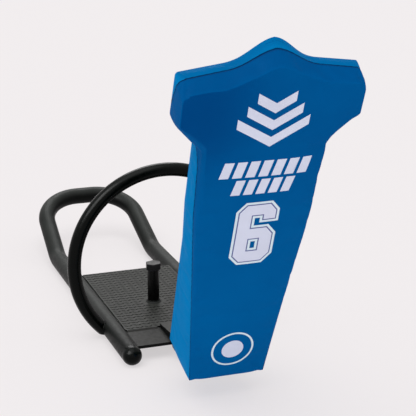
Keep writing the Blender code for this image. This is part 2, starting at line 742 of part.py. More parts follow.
def build_arm(steel, bronze):
    """Barrel with its bushes, the two webs with their heels, and the strap behind them."""
    flange_end = CHEEK_INNER - SEAT_GAP
    barrel_end = flange_end - BUSH_FLANGE - SEAT_GAP
    bm = bmesh.new()
    collar(bm, sideways, BARREL_OD / 2, BUSH_OD / 2 + SEAT_GAP, -barrel_end, barrel_end)
    add_object("arm_barrel", bm, steel, arm_pivot)
    bore = PIN_DIAMETER / 2 + SEAT_GAP
    for side, sign in (("left", -1), ("right", 1)):
        corners = ((BUSH_OD / 2, barrel_end + SEAT_GAP - BUSH_LENGTH), (BUSH_OD / 2, barrel_end + SEAT_GAP),
                   (BARREL_OD / 2, barrel_end + SEAT_GAP), (BARREL_OD / 2, flange_end),
                   (bore, flange_end), (bore, barrel_end + SEAT_GAP - BUSH_LENGTH))
        bm = bmesh.new()
        loft(bm, [sideways(circle(radius), sign * x) for radius, x in corners], around=True)
        add_object("barrel_bush_" + side, bm, bronze, arm_pivot)

    foot, top, rear = web_corners()
    heel_top = FRONT_STOP_BOTTOM - SEAT_GAP - PIN_Z
    heel_low = (HEEL_REACH - HEEL_DEPTH / 2, heel_top - HEEL_DEPTH)
    rear_touch = tangent_angle(rear, HUB_RADIUS, -1)
    heel_angle = math.asin(heel_top / HUB_RADIUS)
    low_touch = tangent_angle(heel_low, HUB_RADIUS, -1)
    front_touch = tangent_angle(foot, HUB_RADIUS, 1) - 2 * math.pi
    outline = [foot, top, rear] + arc(HUB_RADIUS, rear_touch, heel_angle, PLATE_ARC_STEP)
    outline += [(HEEL_REACH, heel_top), (HEEL_REACH, heel_top - HEEL_DEPTH / 2), heel_low]
    outline += arc(HUB_RADIUS, low_touch, front_touch, PLATE_ARC_STEP)
    bm = bmesh.new()
    hole = BARREL_OD / 2 + SEAT_GAP
    rod(bm, sideways, ((hole, -CHEEK_INNER), (hole, CHEEK_INNER)))
    drill = add_cutter("barrel_drill", bm, arm_pivot)
    for side, sign in (("left", -1), ("right", 1)):
        bm = bmesh.new()
        prism(bm, outline, sign * WEB_INNER, sign * WEB_OUTER)
        web = add_object("arm_web_" + side, bm, steel, arm_pivot)
        cut(web, drill)

    touch = on_circle(HUB_RADIUS, rear_touch)
    length = math.hypot(rear[0] - touch[0], rear[1] - touch[1])
    along = ((rear[0] - touch[0]) / length, (rear[1] - touch[1]) / length)
    inward = (-math.cos(rear_touch), -math.sin(rear_touch))
    outline = []
    for reach, depth in ((STRAP_START, 0), (length - STRAP_TOP_SETBACK, 0),
                         (length - STRAP_TOP_SETBACK, STRAP_THICKNESS), (STRAP_START, STRAP_THICKNESS)):
        outline.append((touch[0] + along[0] * reach + inward[0] * depth,
                        touch[1] + along[1] * reach + inward[1] * depth))
    bm = bmesh.new()
    prism(bm, outline, -WEB_INNER + SEAT_GAP, WEB_INNER - SEAT_GAP)
    add_object("arm_rear_strap", bm, steel, arm_pivot, smooth=False)


def smooth_step(low, high, value):
    share = min(max((value - low) / (high - low), 0.0), 1.0)
    return share * share * (3 - 2 * share)


def pad_side():
    """Right side of the pad's outline as (half width, s) points, bottom to top."""
    corners = [(WAIST_HALF_WIDTH, 0, 0), (CHEST_HALF_WIDTH, CHEST_S, 0), (ARMPIT_HALF_WIDTH, ARMPIT_S, 0)]
    corners += [(SHOULDER_HALF_WIDTH, SHOULDER_S, 0), (CORNER_HALF_WIDTH, CORNER_S, 0)]
    corners.append((CORNER_HALF_WIDTH - NECK_HALF_WIDTH, CORNER_S + CORNER_RADIUS, 0))
    radii = (ARMPIT_RADIUS, ARMPIT_RADIUS, SHOULDER_RADIUS, CORNER_RADIUS)
    path = rounded_path(corners, radii, OUTLINE_STEP)
    return [(p.x, p.y) for p in path[:-1]]


def half_width(s):
    """Half the pad's width at a height along the seam."""
    for (width, low), (wider, high) in zip(SIDE, SIDE[1:]):
        if s <= high:
            return width + (wider - width) * (s - low) / (high - low)
    return SIDE[-1][0]


def hump(x, height, reach):
    """A smooth rise about the middle."""
    return height * (1 + math.cos(math.pi * min(abs(x), reach) / reach)) / 2


def top_line(x, share=0.0):
    """The pad's top edge, sloped shoulders and a raised neck, from the seam at 0 to the back at 1."""
    height = CORNER_S + SHOULDER_SLOPE * (CORNER_HALF_WIDTH - abs(x))
    height += hump(x, NECK_HEIGHT, NECK_HALF_WIDTH)
    return height + hump(x, NECK_BACK_HEIGHT * share, NECK_BACK_HALF_WIDTH)


def share_before_back(distance):
    """The share of the neck's rise that the cover has at a distance before the back."""
    return 1 - distance / back_depth(top_line(0, 1.0))


def pad_rows():
    """Rows of the pad's grid as (nominal s, drop below the top line or None)."""
    rows = list(LOWER_ROWS)
    rows += [ARMPIT_S + rise for rise in ARMPIT_RISES]
    rows += [SHOULDER_S + rise for rise in SHOULDER_RISES]
    return [(s, None) for s in rows] + [(CORNER_S - drop, drop) for drop in TOP_DROPS]


def row_height(row, x, inset, share):
    """Height of a grid row at x."""
    s, drop = row
    top = top_line(x, share) - inset
    if drop is not None:
        return top - drop
    if s > CHEST_S:
        return CHEST_S + (s - CHEST_S) / (CORNER_S - CHEST_S) * (top - CHEST_S)
    return max(s, inset)


def drawn_in(x, depth, s, row):
    """x with the top corners drawn in, from nothing at the back to all of it at the seam."""
    drop = row[1]
    if drop is None:
        return x
    near_top = max(1 - drop / TOP_CHAMFER, 0.0)
    ahead = min(1 - depth / back_depth(s), 1.0)
    return x * (1 - CORNER_DRAW_IN / CORNER_HALF_WIDTH * near_top * ahead)


def row_columns(row, inset):
    """The x places of a grid row, denser at the rounded edges."""
    width = half_width(row[0]) - inset
    edge = edge_inset(row[0])
    right = [(width - COVER_FLAP) * share for share in FLAT_SHARES]
    right += [width - edge * share for share in EDGE_SHARES]
    return [-x for x in right[::-1]] + [0.0] + right


def underarm(s):
    """One where the pad's front is cut back under the shoulders, else nothing."""
    start = smooth_step(ARMPIT_S + UNDERARM_START[0], ARMPIT_S + UNDERARM_START[1], s)
    return start * (1 - smooth_step(SHOULDER_S + UNDERARM_END[0], SHOULDER_S + UNDERARM_END[1], s))


def edge_inset(s):
    """How far in from the side the front face is turned back."""
    plain = WAIST_EDGE + (SHOULDER_EDGE - WAIST_EDGE) * smooth_step(CHEST_S, SHOULDER_S, s)
    return plain + (UNDERARM_CHAMFER - plain) * underarm(s)


def front_reach(x, s, row, inset):
    """How far the front face stands before the seam plane."""
    width = half_width(row[0]) - inset
    rise = FRONT_GROWTH * s
    crown = FRONT_CROWN * (1 - (x / width) ** 2) * smooth_step(0, CROWN_FADE, s)
    edge = edge_inset(row[0])
    drop = min(edge, rise) + (rise - min(edge, rise)) * underarm(row[0])
    share = min(max((width - abs(x)) / edge, 0.0), 1.0)
    turned = drop * (1 - math.sqrt(1 - (1 - share) ** 2))
    below_top = min(max((top_line(x) - inset - s) / TOP_CHAMFER, 0.0), 1.0)
    return (rise + crown - turned) * below_top - inset


def pad_grid(rows, depth_of, inset, share):
    """Points of one face of a pad layer, row by row."""
    grid = []
    for row in rows:
        line = []
        for x in row_columns(row, inset):
            s = row_height(row, x, inset, share)
            depth = depth_of(x, s, row)
            line.append(Vector((drawn_in(x, depth, s, row), depth, s)))
        grid.append(line)
    return grid


def rim(grid):
    """The border points of a grid, in order."""
    right = [line[-1] for line in grid[1:-1]]
    left = [line[0] for line in grid[1:-1]]
    return grid[0] + right + grid[-1][::-1] + left[::-1]


def pad_layer(rows, inset, back_inset, share, bulge):
    """Front grid, bulged middle rim and back grid of a pad layer."""
    front = pad_grid(rows, lambda x, s, row: -front_reach(x, s, row, inset), inset, 0.0)
    back = pad_grid(rows, lambda x, s, row: back_depth(s) - back_inset, inset, share)
    middle = []
    sides = [line[0] for line in front[1:-1]] + [line[-1] for line in front[1:-1]]
    for fore, aft in zip(rim(front), rim(back)):
        belly = bulge if fore in sides else 0.0
        middle.append(fore.lerp(aft, 0.5) + Vector((math.copysign(belly, fore.x), 0, 0)))
    return front, middle, back


def layer_faces(grids, window):
    """Vertices and faces of a pad layer; window leaves the middle of the back open."""
    front, middle, back = grids
    rows, columns = len(front), len(front[0])
    points = [p for line in front for p in line]
    back_start = len(points)
    points += [p for line in back for p in line]
    middle_start = len(points)
    points += middle
    faces = []
    for r in range(rows - 1):
        for c in range(columns - 1):
            a = r * columns + c
            quad = (a, a + 1, a + columns + 1, a + columns)
            mirrored = c < columns // 2
            faces += two_triangles(quad, mirrored)
            inside = 0 < r < rows - len(TOP_DROPS) and EDGE_COLUMNS <= c < columns - 1 - EDGE_COLUMNS
            if not (window and inside):
                faces += two_triangles([back_start + k for k in quad], mirrored, back=True)
    index = [[r * columns + c for c in range(columns)] for r in range(rows)]
    border = rim(index)
    for k, fore in enumerate(border):
        n = (k + 1) % len(border)
        faces += two_triangles((border[n], fore, middle_start + k, middle_start + n), False)
        aft = (middle_start + n, middle_start + k, back_start + fore, back_start + border[n])
        faces += two_triangles(aft, False)
    return points, faces


def two_triangles(quad, mirrored, back=False):
    """Split a quad the same way in every layer, so that nested layers keep their gap."""
    a, b, c, d = quad
    halves = [(a, b, d), (b, c, d)] if mirrored else [(a, b, c), (a, c, d)]
    return [half[::-1] for half in halves] if back else halves


def solid_layer(name, grids, made_of):
    points, faces = layer_faces(grids, window=False)
    bm = bmesh.new()
    verts = [bm.verts.new(p) for p in points]
    for face in faces:
        bm.faces.new([verts[k] for k in face])
    return add_object(name, bm, made_of, pad_frame)


def shell_layer(name, outside, inside, made_of):
    """A skin between two layers, closed round its open back."""
    bm = bmesh.new()
    edges = {}
    sheets = []
    for grids in (outside, inside):
        points, faces = layer_faces(grids, window=True)
        sheets.append([bm.verts.new(p) for p in points])
    for face in faces:
        bm.faces.new([sheets[0][k] for k in face])
        bm.faces.new([sheets[1][k] for k in face[::-1]])
        for k, n in zip(face, face[1:] + face[:1]):
            edges[(k, n)] = edges.get((k, n), 0) + 1
    for k, n in edges:
        if (n, k) not in edges:
            bm.faces.new([sheets[0][n], sheets[0][k], sheets[1][k], sheets[1][n]])
    for vert in [v for v in bm.verts if not v.link_faces]:
        bm.verts.remove(vert)
    return add_object(name, bm, made_of, pad_frame)


def offset_line(line, distance):
    """A (depth, s) line moved square to itself, mitred at its inner point."""
    moved = []
    for k, point in enumerate(line):
        normals = []
        for start, end in zip(line[max(k - 1, 0):k + 1], line[max(k, 1):k + 2]):
            run = (Vector(end) - Vector(start)).normalized()
            normals.append(Vector((run.y, -run.x)))
        mean = sum(normals, Vector((0, 0))).normalized()
        moved.append(Vector(point) + mean * distance / mean.dot(normals[0]))
    return moved


def build_pad(vinyl, foam, board, steel, zinc):
    """Cover, foam, the two back boards, the spine plate and what bolts them together."""
    rows = pad_rows()
    board_back = SKIN_THICKNESS + SEAT_GAP
    board_front = board_back + BOARD_THICKNESS
    foam_back = board_front + SEAT_GAP
    kink = [row[0] for row in rows].index(KINK_S)
    outside = pad_layer(rows, 0.0, 0.0, 1.0, SIDE_BULGE)
    inside = pad_layer(rows, SKIN_THICKNESS, SKIN_THICKNESS, 1.0, SIDE_BULGE)
    shell_layer("pad_cover", outside, inside, vinyl)
    foam_share = FOAM_NECK_EASE * share_before_back(foam_back)
    filling = pad_layer(rows, board_back, foam_back, foam_share, FOAM_BULGE)
    solid_layer("pad_foam", filling, foam)

    line = [(back_depth(s) - board_back, s) for s in (SPINE_START_S, KINK_S, SPINE_END_S)]
    drills = build_board_bolts(zinc, board_back)
    for name, part_rows in (("lower_back_board", rows[:kink + 1]), ("upper_back_board", rows[kink:])):
        bm = bmesh.new()
        loft(bm, board_outlines(part_rows, (board_front, board_back), name.startswith("lower")))
        sheet = add_object(name, bm, board, pad_frame)
        for drill in drills[name]:
            cut(sheet, drill)

    near = offset_line(line, SEAT_GAP)
    far = offset_line(line, SEAT_GAP + SPINE_THICKNESS)
    bm = bmesh.new()
    prism(bm, [tuple(p) for p in near] + [tuple(p) for p in far[::-1]], -SPINE_WIDTH / 2, SPINE_WIDTH / 2)
    spine = add_object("spine_plate", bm, steel, pad_frame, smooth=False)
    for drill in drills["lower_back_board"] + drills["upper_back_board"]:
        cut(spine, drill)


def board_outlines(rows, depths, lower):
    """Front and back outlines of a board; the two boards part at the kink."""
    outlines = []
    for less in depths:
        grid = []
        for k, row in enumerate(rows):
            parting = 0.0
            if row[0] == KINK_S:
                parting = -BOARD_PARTING if lower else BOARD_PARTING
            line = []
            for x in row_columns(row, depths[1]):
                share = BOARD_NECK_EASE * share_before_back(less)
                s = row_height(row, x, depths[1], share) + parting
                depth = back_depth(s) - less
                line.append(Vector((drawn_in(x, depth - SKIN_THICKNESS, s, row), depth, s)))
            grid.append(line)
        outlines.append(rim(grid))
    return outlines


def build_board_bolts(zinc, board_back):
    """Bolts, threaded inserts and one stepped drill for each; gives back the drills by board."""
    shank = BOARD_BOLT_SHANK / 2
    bore = shank + SEAT_GAP
    head = hexagon(BOARD_BOLT_FLATS, FASTENER_SIDES)
    head_start = SPINE_THICKNESS + 2 * SEAT_GAP
    bolt = [upright(circle(shank, FASTENER_SIDES), z) for z in (-BOARD_BOLT_REACH, head_start)]
    bolt += [upright(head, z) for z in (head_start, head_start + BOARD_BOLT_HEAD)]
    outer = INSERT_OD / 2
    sleeve = []
    for radius, z in ((outer, -INSERT_REACH), (outer, -SEAT_GAP), (bore, -SEAT_GAP), (bore, -INSERT_REACH)):
        sleeve.append(upright(circle(radius, FASTENER_SIDES), z))
    step = SEAT_GAP / 2
    reach = BOARD_THICKNESS + SPINE_THICKNESS
    hole = []
    for radius, z in ((outer + SEAT_GAP, -reach), (outer + SEAT_GAP, step), (bore, step), (bore, reach)):
        hole.append(upright(circle(radius, FASTENER_SIDES), z))
    drills = {}
    number = 0
    lower_tilt = math.atan((FOOT_DEPTH - KINK_DEPTH) / KINK_S)
    upper_tilt = math.atan((KINK_DEPTH - TOP_DEPTH) / (CORNER_S - KINK_S))
    groups = (("lower_back_board", LOWER_BOLT_ROWS, LOWER_BOLT_SPACING, lower_tilt),
              ("upper_back_board", UPPER_BOLT_ROWS, UPPER_BOLT_SPACING, upper_tilt))
    for board, heights, spacing, tilt in groups:
        drills[board] = []
        for s in heights:
            number += 1
            for side, x in (("left", -spacing / 2), ("right", spacing / 2)):
                label = "_%d_%s" % (number, side)
                placed = []
                for name, rings, around in (("board_bolt", bolt, False), ("board_insert", sleeve, True)):
                    bm = bmesh.new()
                    loft(bm, rings, around=around)
                    placed.append(add_object(name + label, bm, zinc, pad_frame))
                bm = bmesh.new()
                loft(bm, hole)
                placed.append(add_cutter("board_drill" + label, bm, pad_frame))
                drills[board].append(placed[-1])
                for part in placed:
                    part.location = (x, back_depth(s) - board_back, s)
                    part.rotation_euler = (tilt - math.pi / 2, 0, 0)
    return drills


for old in list(bpy.data.objects):
    bpy.data.objects.remove(old)

SIDE = pad_side()

# The origin lies under the middle, between the neck's front and the back of the rear loop
neck_s = top_line(0) - TOP_CHAMFER
neck_front = PIN_Y + pad_to_arm(-FRONT_GROWTH * neck_s - FRONT_CROWN, neck_s)[0]
rear_end = LOOP_Y + RUNNER_RADIUS
MIDDLE = (neck_front + rear_end) / 2

datum = empty("sled_datum", (0, -MIDDLE, 0))
arm_pivot = empty("arm_pivot", (0, PIN_Y, PIN_Z), datum)
pad_frame = empty("pad_frame", (0, PAD_FOOT_Y - PIN_Y, PAD_FOOT_Z - PIN_Z), arm_pivot, PAD_LEAN)

SATIN_BLACK = material("satin_black_steel", (0.012, 0.012, 0.013), 0.42, 0.0)
GLOSS_BLACK = material("gloss_black_steel", (0.008, 0.008, 0.009), 0.18, 0.0)
DARK_PLATE = material("dark_plate_steel", (0.022, 0.021, 0.021), 0.38, 0.0)
TREAD_STEEL = material("tread_plate_steel", (0.035, 0.033, 0.032), 0.45, 0.0)
ZINC = material("dark_zinc", (0.10, 0.10, 0.11), 0.35, 0.9)
SPRING_STEEL = material("spring_steel", (0.06, 0.06, 0.065), 0.35, 0.9)
BRONZE = material("bush_bronze", (0.35, 0.20, 0.08), 0.35, 0.9)
STOP_RUBBER = material("stop_rubber", (0.015, 0.015, 0.015), 0.8, 0.0)
BLUE_VINYL = material("blue_vinyl", (0.002, 0.085, 0.287), 0.45, 0.0)
PAD_FOAM = material("pad_foam", (0.55, 0.50, 0.38), 0.95, 0.0)
BOARD = material("black_board", (0.03, 0.03, 0.03), 0.6, 0.0)

build_runners(SATIN_BLACK, SATIN_BLACK)
build_hoop(GLOSS_BLACK)
build_deck(TREAD_STEEL, DARK_PLATE, SATIN_BLACK)
build_post(SATIN_BLACK, ZINC)
build_hinge(SATIN_BLACK, TREAD_STEEL, ZINC, STOP_RUBBER)
build_spring(SPRING_STEEL, SATIN_BLACK)
build_arm(SATIN_BLACK, BRONZE)
build_pad(BLUE_VINYL, PAD_FOAM, BOARD, SATIN_BLACK, ZINC)
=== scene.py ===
"""Looks of the pop-up tackle dummy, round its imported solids.

Units are metres. Lengths along Y are written from the centres of the runners' domed noses, as in the
solids' source, and AFT moves them into the frame. The torso is made in its own flat frame: x across,
depth behind the plane of its seam, and s up from its bottom edge.
"""

import json
from math import acos, asin, ceil, cos, hypot, pi, radians, sin, sqrt, tan

import bpy
import numpy as np
from mathutils import Matrix, Vector, noise
from mathutils.bvhtree import BVHTree
from mathutils.kdtree import KDTree
from mathutils.geometry import delaunay_2d_cdt


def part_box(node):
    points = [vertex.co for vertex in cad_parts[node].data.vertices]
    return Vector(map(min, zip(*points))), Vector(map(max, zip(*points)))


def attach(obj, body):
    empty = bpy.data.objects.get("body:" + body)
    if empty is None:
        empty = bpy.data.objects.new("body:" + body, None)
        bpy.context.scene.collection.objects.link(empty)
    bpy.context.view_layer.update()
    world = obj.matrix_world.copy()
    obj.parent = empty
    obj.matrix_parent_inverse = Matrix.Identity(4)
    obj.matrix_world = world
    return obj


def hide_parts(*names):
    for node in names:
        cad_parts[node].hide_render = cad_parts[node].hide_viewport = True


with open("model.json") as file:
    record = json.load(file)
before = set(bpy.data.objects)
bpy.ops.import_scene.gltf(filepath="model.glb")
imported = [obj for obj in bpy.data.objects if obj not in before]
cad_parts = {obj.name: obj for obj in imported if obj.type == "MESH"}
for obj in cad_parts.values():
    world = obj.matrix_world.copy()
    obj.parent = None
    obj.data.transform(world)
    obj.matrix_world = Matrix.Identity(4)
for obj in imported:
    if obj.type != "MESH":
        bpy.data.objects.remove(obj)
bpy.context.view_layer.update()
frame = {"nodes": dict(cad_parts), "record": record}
SCENE = bpy.context.scene

# Sled, as in the solids
POST_LOW, POST_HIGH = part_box("weight_post")
POST_Y = 0.450
POST_R = 0.02415
POST_WALL = 0.0048
POST_EASE = 0.0008
AFT = POST_Y - (POST_LOW.y + POST_HIGH.y) / 2
RUNNER_R = 0.0381
RUNNER_X = 0.2275
NOSE_END = 0.012
RUNNER_LENGTH = 1.194
LOOP_LEG = 0.428
LOOP_RISE = radians(23.4)
LOOP_X = 0.2125
LOOP_Y = RUNNER_LENGTH + LOOP_LEG * cos(LOOP_RISE)
LOOP_Z = RUNNER_R + LOOP_LEG * sin(LOOP_RISE)
BEND_RADIUS = 0.18
HOOP_RADIUS = 0.371
HOOP_TUBE = 0.027
HOOP_Y = 0.299
HOOP_FOOT_X = RUNNER_X + 0.0316
HOOP_FOOT_Z = 0.019
HOOP_FOOT_OVERRUN = radians(6)
HOOP_DROP = sqrt(HOOP_RADIUS ** 2 - HOOP_FOOT_X ** 2)
HOOP_FOOT_TURN = asin(HOOP_DROP / HOOP_RADIUS)
DECK_TOP = 0.0686
DECK_HALF = 0.1988
TREAD_START = 0.180
TREAD_END = 0.853
FRONT_PLATE_START = 0.021
FRONT_PLATE_TOP = 0.0633
HINGE_NOTCH_X = 0.071
WELD_GAP = 0.0003

# Trim of the sled
THREAD_PITCH = 0.0035
THREAD_START = 0.0014
THREAD_END = 0.0250
THREAD_MIDDLE = 0.01336
THREAD_RADIUS = 0.0018
LUG_LENGTH = 0.0225
LUG_WIDTH = 0.0078
LUG_HEIGHT = 0.0020
LUG_SUNK = 0.0003
LUG_PITCH_X = 0.0185
LUG_PITCH_Y = 0.0270
LUG_SLANT = radians(34)
LUGS_FROM_POST = 0.052
BEAD_RADIUS = 0.0032
BEAD_RIPPLE = 0.0034
BEAD_SUNK = 0.0022
HOOP_BEAD = 0.0036
POST_BEAD = 0.0026
POST_BEAD_RING = 0.0249
FLANGE_TOP = DECK_TOP + 0.0070
# Beads at the deck's sides: start, end, top of the plate, and a radius of their own
PLATE_BEADS = ((0.184, 0.212, DECK_TOP), (0.470, 0.505, DECK_TOP), (0.800, 0.848, DECK_TOP),
               (FRONT_PLATE_START + 0.004, 0.179, FRONT_PLATE_TOP, 0.0038))
FILLET_END = 0.196
FILLET_RUN = 0.017
FILLET_RISE = 0.0053
HOOP_STEPS = 160
CUT_MARGIN = 0.06
TUBE_SIDES = 48
POST_SIDES = 96

# Torso, as in the solids
LEAN = radians(18.5)
FOOT_Y = -0.416
FOOT_Z = 0.099
CHEST_S = 0.720
ARMPIT_S = 0.972
SHOULDER_S = 1.072
CORNER_X = 0.303
CORNER_S = 1.233
KINK_S = 0.560
SIDE_CORNERS = [(0.140, 0), (0.204, CHEST_S), (0.213, ARMPIT_S), (0.301, SHOULDER_S),
                (CORNER_X, CORNER_S), (0.148, 1.243)]
SIDE_RADII = (0.022, 0.022, 0.040, 0.010)
# Heights and depths of the back; above the corners it carries on at the upper board's slope
BACK_LINE = ((0, KINK_S, CORNER_S, 1.4), (0.232, 0.105, 0.044, 0.044 - 0.061 * 0.167 / 0.673))
SHOULDER_SLOPE = 0.15
# Height and half the width of the crown, and of what the neck adds to it at the back
CROWN = (0.040, 0.155)
NECK = (0.021, 0.120)
FRONT_RISE = 0.0402
FRONT_CROWN = 0.006
TOP_CHAMFER = 0.033
TOP_NARROWING = 0.015
UNDERARM_CHAMFER = 0.038
CREASE_RADIUS = 0.018
CREASE_SOFTNESS = 0.11
FLAP = 0.048
SKIN = 0.002
BOARD = 0.0143

# Trim of the torso: where the paler side strip leaves the seam and where it is gone, above and below
STRIP_LEAVES = 0.900
STRIP_GONE = ARMPIT_S + 0.022
STRIP_TOP = CORNER_S - 0.004
STRIP_RETURN = 0.112
STRIP_PUFF = 0.0025
PUCKER_PITCH = 0.024
PUCKER_HEIGHT = 0.00055
PUCKER_REACH = 0.016
GROOVE_DEPTH = 0.0018
GROOVE_WIDTH = 0.0028
SEAM_TO_THREAD = 0.0045
# Stitched stretches of the strip's seam: from, to and steps; half of the top's; the staples' inset
STITCHED = ((0.006, ARMPIT_S + 0.020, 400), (CORNER_S - 0.108, CORNER_S - 0.014, 60))
TOP_STITCHED = CORNER_X - 0.016
STAPLE_INSET = FLAP - 0.009
# Soft dents of the cover: height, size and seed
DENTS = ((0.0016, 0.21, 1), (0.0007, 0.075, 2))
# Length, pitch, radius and height of a stitch and of a staple
STITCH = (0.0038, 0.0055, 0.0006, 0.0004)
STAPLE = (0.0110, 0.0340, 0.0006, 0.0006)
# A stitch's line from end to end: shares of its length and of its height
STITCH_LINE = ((-0.5, -0.6), (-0.34, 0.8), (0.0, 1.0), (0.34, 0.8), (0.5, -0.6))

# Simulation of the cover over its foam
SIM_CELL = 0.009
SIM_FRAMES = 20
SIM_PRESSURE = 0.6
SIM_STIFFNESS = 40.0
SIM_BENDING = 2.0
SIM_SLACK = 0.010
SIM_CAP = 0.006
SIM_NEIGHBOURS = 6


def unit(v):
    """A vector, or each row of an array, at length 1."""
    return v / np.linalg.norm(v, axis=-1, keepdims=True)


def left_of(run):
    """Unit normals to the left of directions in a plane."""
    run = unit(run)
    return np.stack([-run[:, 1], run[:, 0]], 1)


def lengths_along(path):
    """How far along a path each of its points lies."""
    return np.concatenate([[0], np.cumsum(np.linalg.norm(np.diff(path, axis=0), axis=1))])


def smooth(low, high, v):
    """A soft step from 0 at low to 1 at high."""
    t = np.clip((v - low) / (high - low), 0, 1)
    return t * t * (3 - 2 * t)


def wobble(points, size, seed=0.0):
    """Smooth noise from -1 to 1 at each point, with features of about that size."""
    shift = Vector((seed * 13.7, seed * 7.1, seed * 3.3))
    return np.array([noise.noise(Vector(p) / size + shift) for p in points])


def rounded(corners, radii, step=radians(4)):
    """A polyline with its inner corners turned into arcs."""
    corners = np.array(corners, float)
    path = [corners[0]]
    for before, corner, after, radius in zip(corners, corners[1:], corners[2:], radii):
        into, out = unit(corner - before), unit(after - corner)
        turn = acos(np.clip(into @ out, -1, 1))
        centre = corner + unit(out - into) * radius / cos(turn / 2)
        start = corner - into * radius * tan(turn / 2) - centre
        end = corner + out * radius * tan(turn / 2) - centre
        count = max(1, ceil(turn / step))
        for k in range(count + 1):
            spoke = start * sin((1 - k / count) * turn) + end * sin(k / count * turn)
            path.append(centre + spoke / sin(turn))
    return np.array(path + [corners[-1]])


def resample(path, step, closed=False):
    """The same line with points at even distances."""
    path = np.array(path, float)
    if closed:
        path = np.vstack([path, path[:1]])
    lengths = lengths_along(path)
    at = np.linspace(0, lengths[-1], max(2, round(lengths[-1] / step) + 1))
    made = np.stack([np.interp(at, lengths, path[:, k]) for k in range(path.shape[1])], 1)
    return made[:-1] if closed else made


# Pieces

FLIPPED = (0, 3, 2, 1)
RING_ORDER = (1, 0, 3, 2)


def quads(index, wrap=False, order=(0, 1, 2, 3)):
    """Faces between neighbours in a grid of point numbers; with wrap its last column meets its first."""
    if wrap:
        index = np.hstack([index, index[:, :1]])
    corners = (index[:-1, :-1], index[:-1, 1:], index[1:, 1:], index[1:, :-1])
    return np.stack([corners[k] for k in order], -1).reshape(-1, 4).tolist()


def walls(total, columns, order=(0, 1, 2, 3)):
    """Faces between rings of points, numbered ring by ring, and round the first and the last ring."""
    index = np.arange(total).reshape(-1, columns)
    return quads(index, True, order) + [index[0, ::-1], index[-1]]


def placed(name, data):
    """An object in the scene that shows a mesh, a lamp or a camera."""
    made = bpy.data.objects.new(name, data)
    SCENE.collection.objects.link(made)
    return made


def shape(name, points, faces):
    """An object in the scene with a mesh of points and faces."""
    mesh = bpy.data.meshes.new(name)
    mesh.from_pydata(np.asarray(points, float), [], faces)
    return placed(name, mesh)


def mesh_of(made):
    """The points and faces of an object."""
    return [tuple(v.co) for v in made.data.vertices], [tuple(f.vertices) for f in made.data.polygons]


def piece(name, points, faces, made_of, body, slot, sharp=60, replaces=()):
    """A mesh piece in the frame that rides on a body and wears the finish it is given; its slot is not used.
    """
    made = shape(name, points, faces)
    mesh = made.data
    mesh.validate()
    mesh.shade_smooth()
    mesh.set_sharp_from_angle(angle=radians(sharp))
    mesh.materials.append(made_of)
    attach(made, body)
    if replaces:
        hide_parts(*replaces)
    return made


def sweep(path, radii, sides=TUBE_SIDES, first=None):
    """Points and faces of a round bar along a path; radii may differ from point to point."""
    path = np.array(path, float)
    ahead = np.diff(path, axis=0)
    ahead = unit(np.vstack([ahead, ahead[-1:]]))
    heading = unit(ahead + np.vstack([ahead[:1], ahead[:-1]]))
    if first is None:
        first = (0, 0, 1) if abs(heading[0][2]) < 0.9 else (1, 0, 0)
    across = [np.array(first, float)]
    for way in heading:
        across.append(unit(across[-1] - way * (across[-1] @ way)))
    across = np.array(across[1:])
    other = np.cross(heading, across)
    angles = np.linspace(0, 2 * pi, sides, endpoint=False)[:, None]
    ring = across[:, None] * np.cos(angles) + other[:, None] * np.sin(angles)
    radii = np.broadcast_to(radii, len(path))[:, None, None]
    points = (path[:, None] + ring * radii).reshape(-1, 3)
    return points, walls(len(points), sides)


def settled(made):
    """Turns an object's modifiers into its mesh."""
    mesh = bpy.data.meshes.new_from_object(made.evaluated_get(bpy.context.evaluated_depsgraph_get()))
    made.modifiers.clear()
    made.data = mesh


def cut(made, points, faces):
    """Takes the volume within some faces out of an object."""
    cutter = shape("cutter", points, faces)
    change = made.modifiers.new("cut", "BOOLEAN")
    change.object = cutter
    change.solver = "EXACT"
    settled(made)
    bpy.data.objects.remove(cutter)


def join(parts):
    """One set of points and faces from several."""
    points, faces, start = [], [], 0
    for p, f in parts:
        points.append(p)
        faces += [[k + start for k in face] for face in f]
        start += len(p)
    return np.vstack(points), faces


def aft(points):
    """Points written from the nose centres, moved into the frame."""
    return np.asarray(points, float) - (0, AFT, 0)


# Materials

def linear(*srgb):
    """An 8-bit sRGB colour as linear numbers with alpha."""
    shares = [value / 255 for value in srgb]
    return (*(v / 12.92 if v <= 0.04045 else ((v + 0.055) / 1.055) ** 2.4 for v in shares), 1.0)


class Nodes:
    """A node tree, with short ways to add to it."""

    def __init__(self, tree):
        self.tree = tree

    def feed(self, socket, value):
        """Links a socket to another one, or gives it a number or colour."""
        if isinstance(value, bpy.types.NodeSocket):
            self.tree.links.new(value, socket)
        else:
            socket.default_value = value

    def node(self, kind, inputs=None, **settings):
        made = self.tree.nodes.new(kind)
        for key, value in settings.items():
            setattr(made, key, value)
        for key, value in (inputs or {}).items():
            self.feed(made.inputs[key], value)
        return made

    def math(self, operation, *values):
        return self.node("ShaderNodeMath", dict(enumerate(values)), operation=operation).outputs[0]

    def times(self, first, second):
        return self.math("MULTIPLY", first, second)

    def sees_background(self):
        """1 for rays from the camera, from gloss and through clear materials."""
        rays = self.node("ShaderNodeLightPath").outputs
        seen = self.math("MAXIMUM", rays["Is Camera Ray"], rays["Is Glossy Ray"])
        return self.math("MAXIMUM", seen, rays["Is Transmission Ray"])

    def blend(self, share, *shaders):
        """Two shaders mixed."""
        inputs = [share, *(shader.outputs[0] for shader in shaders)]
        return self.node("ShaderNodeMixShader", dict(enumerate(inputs))).outputs[0]


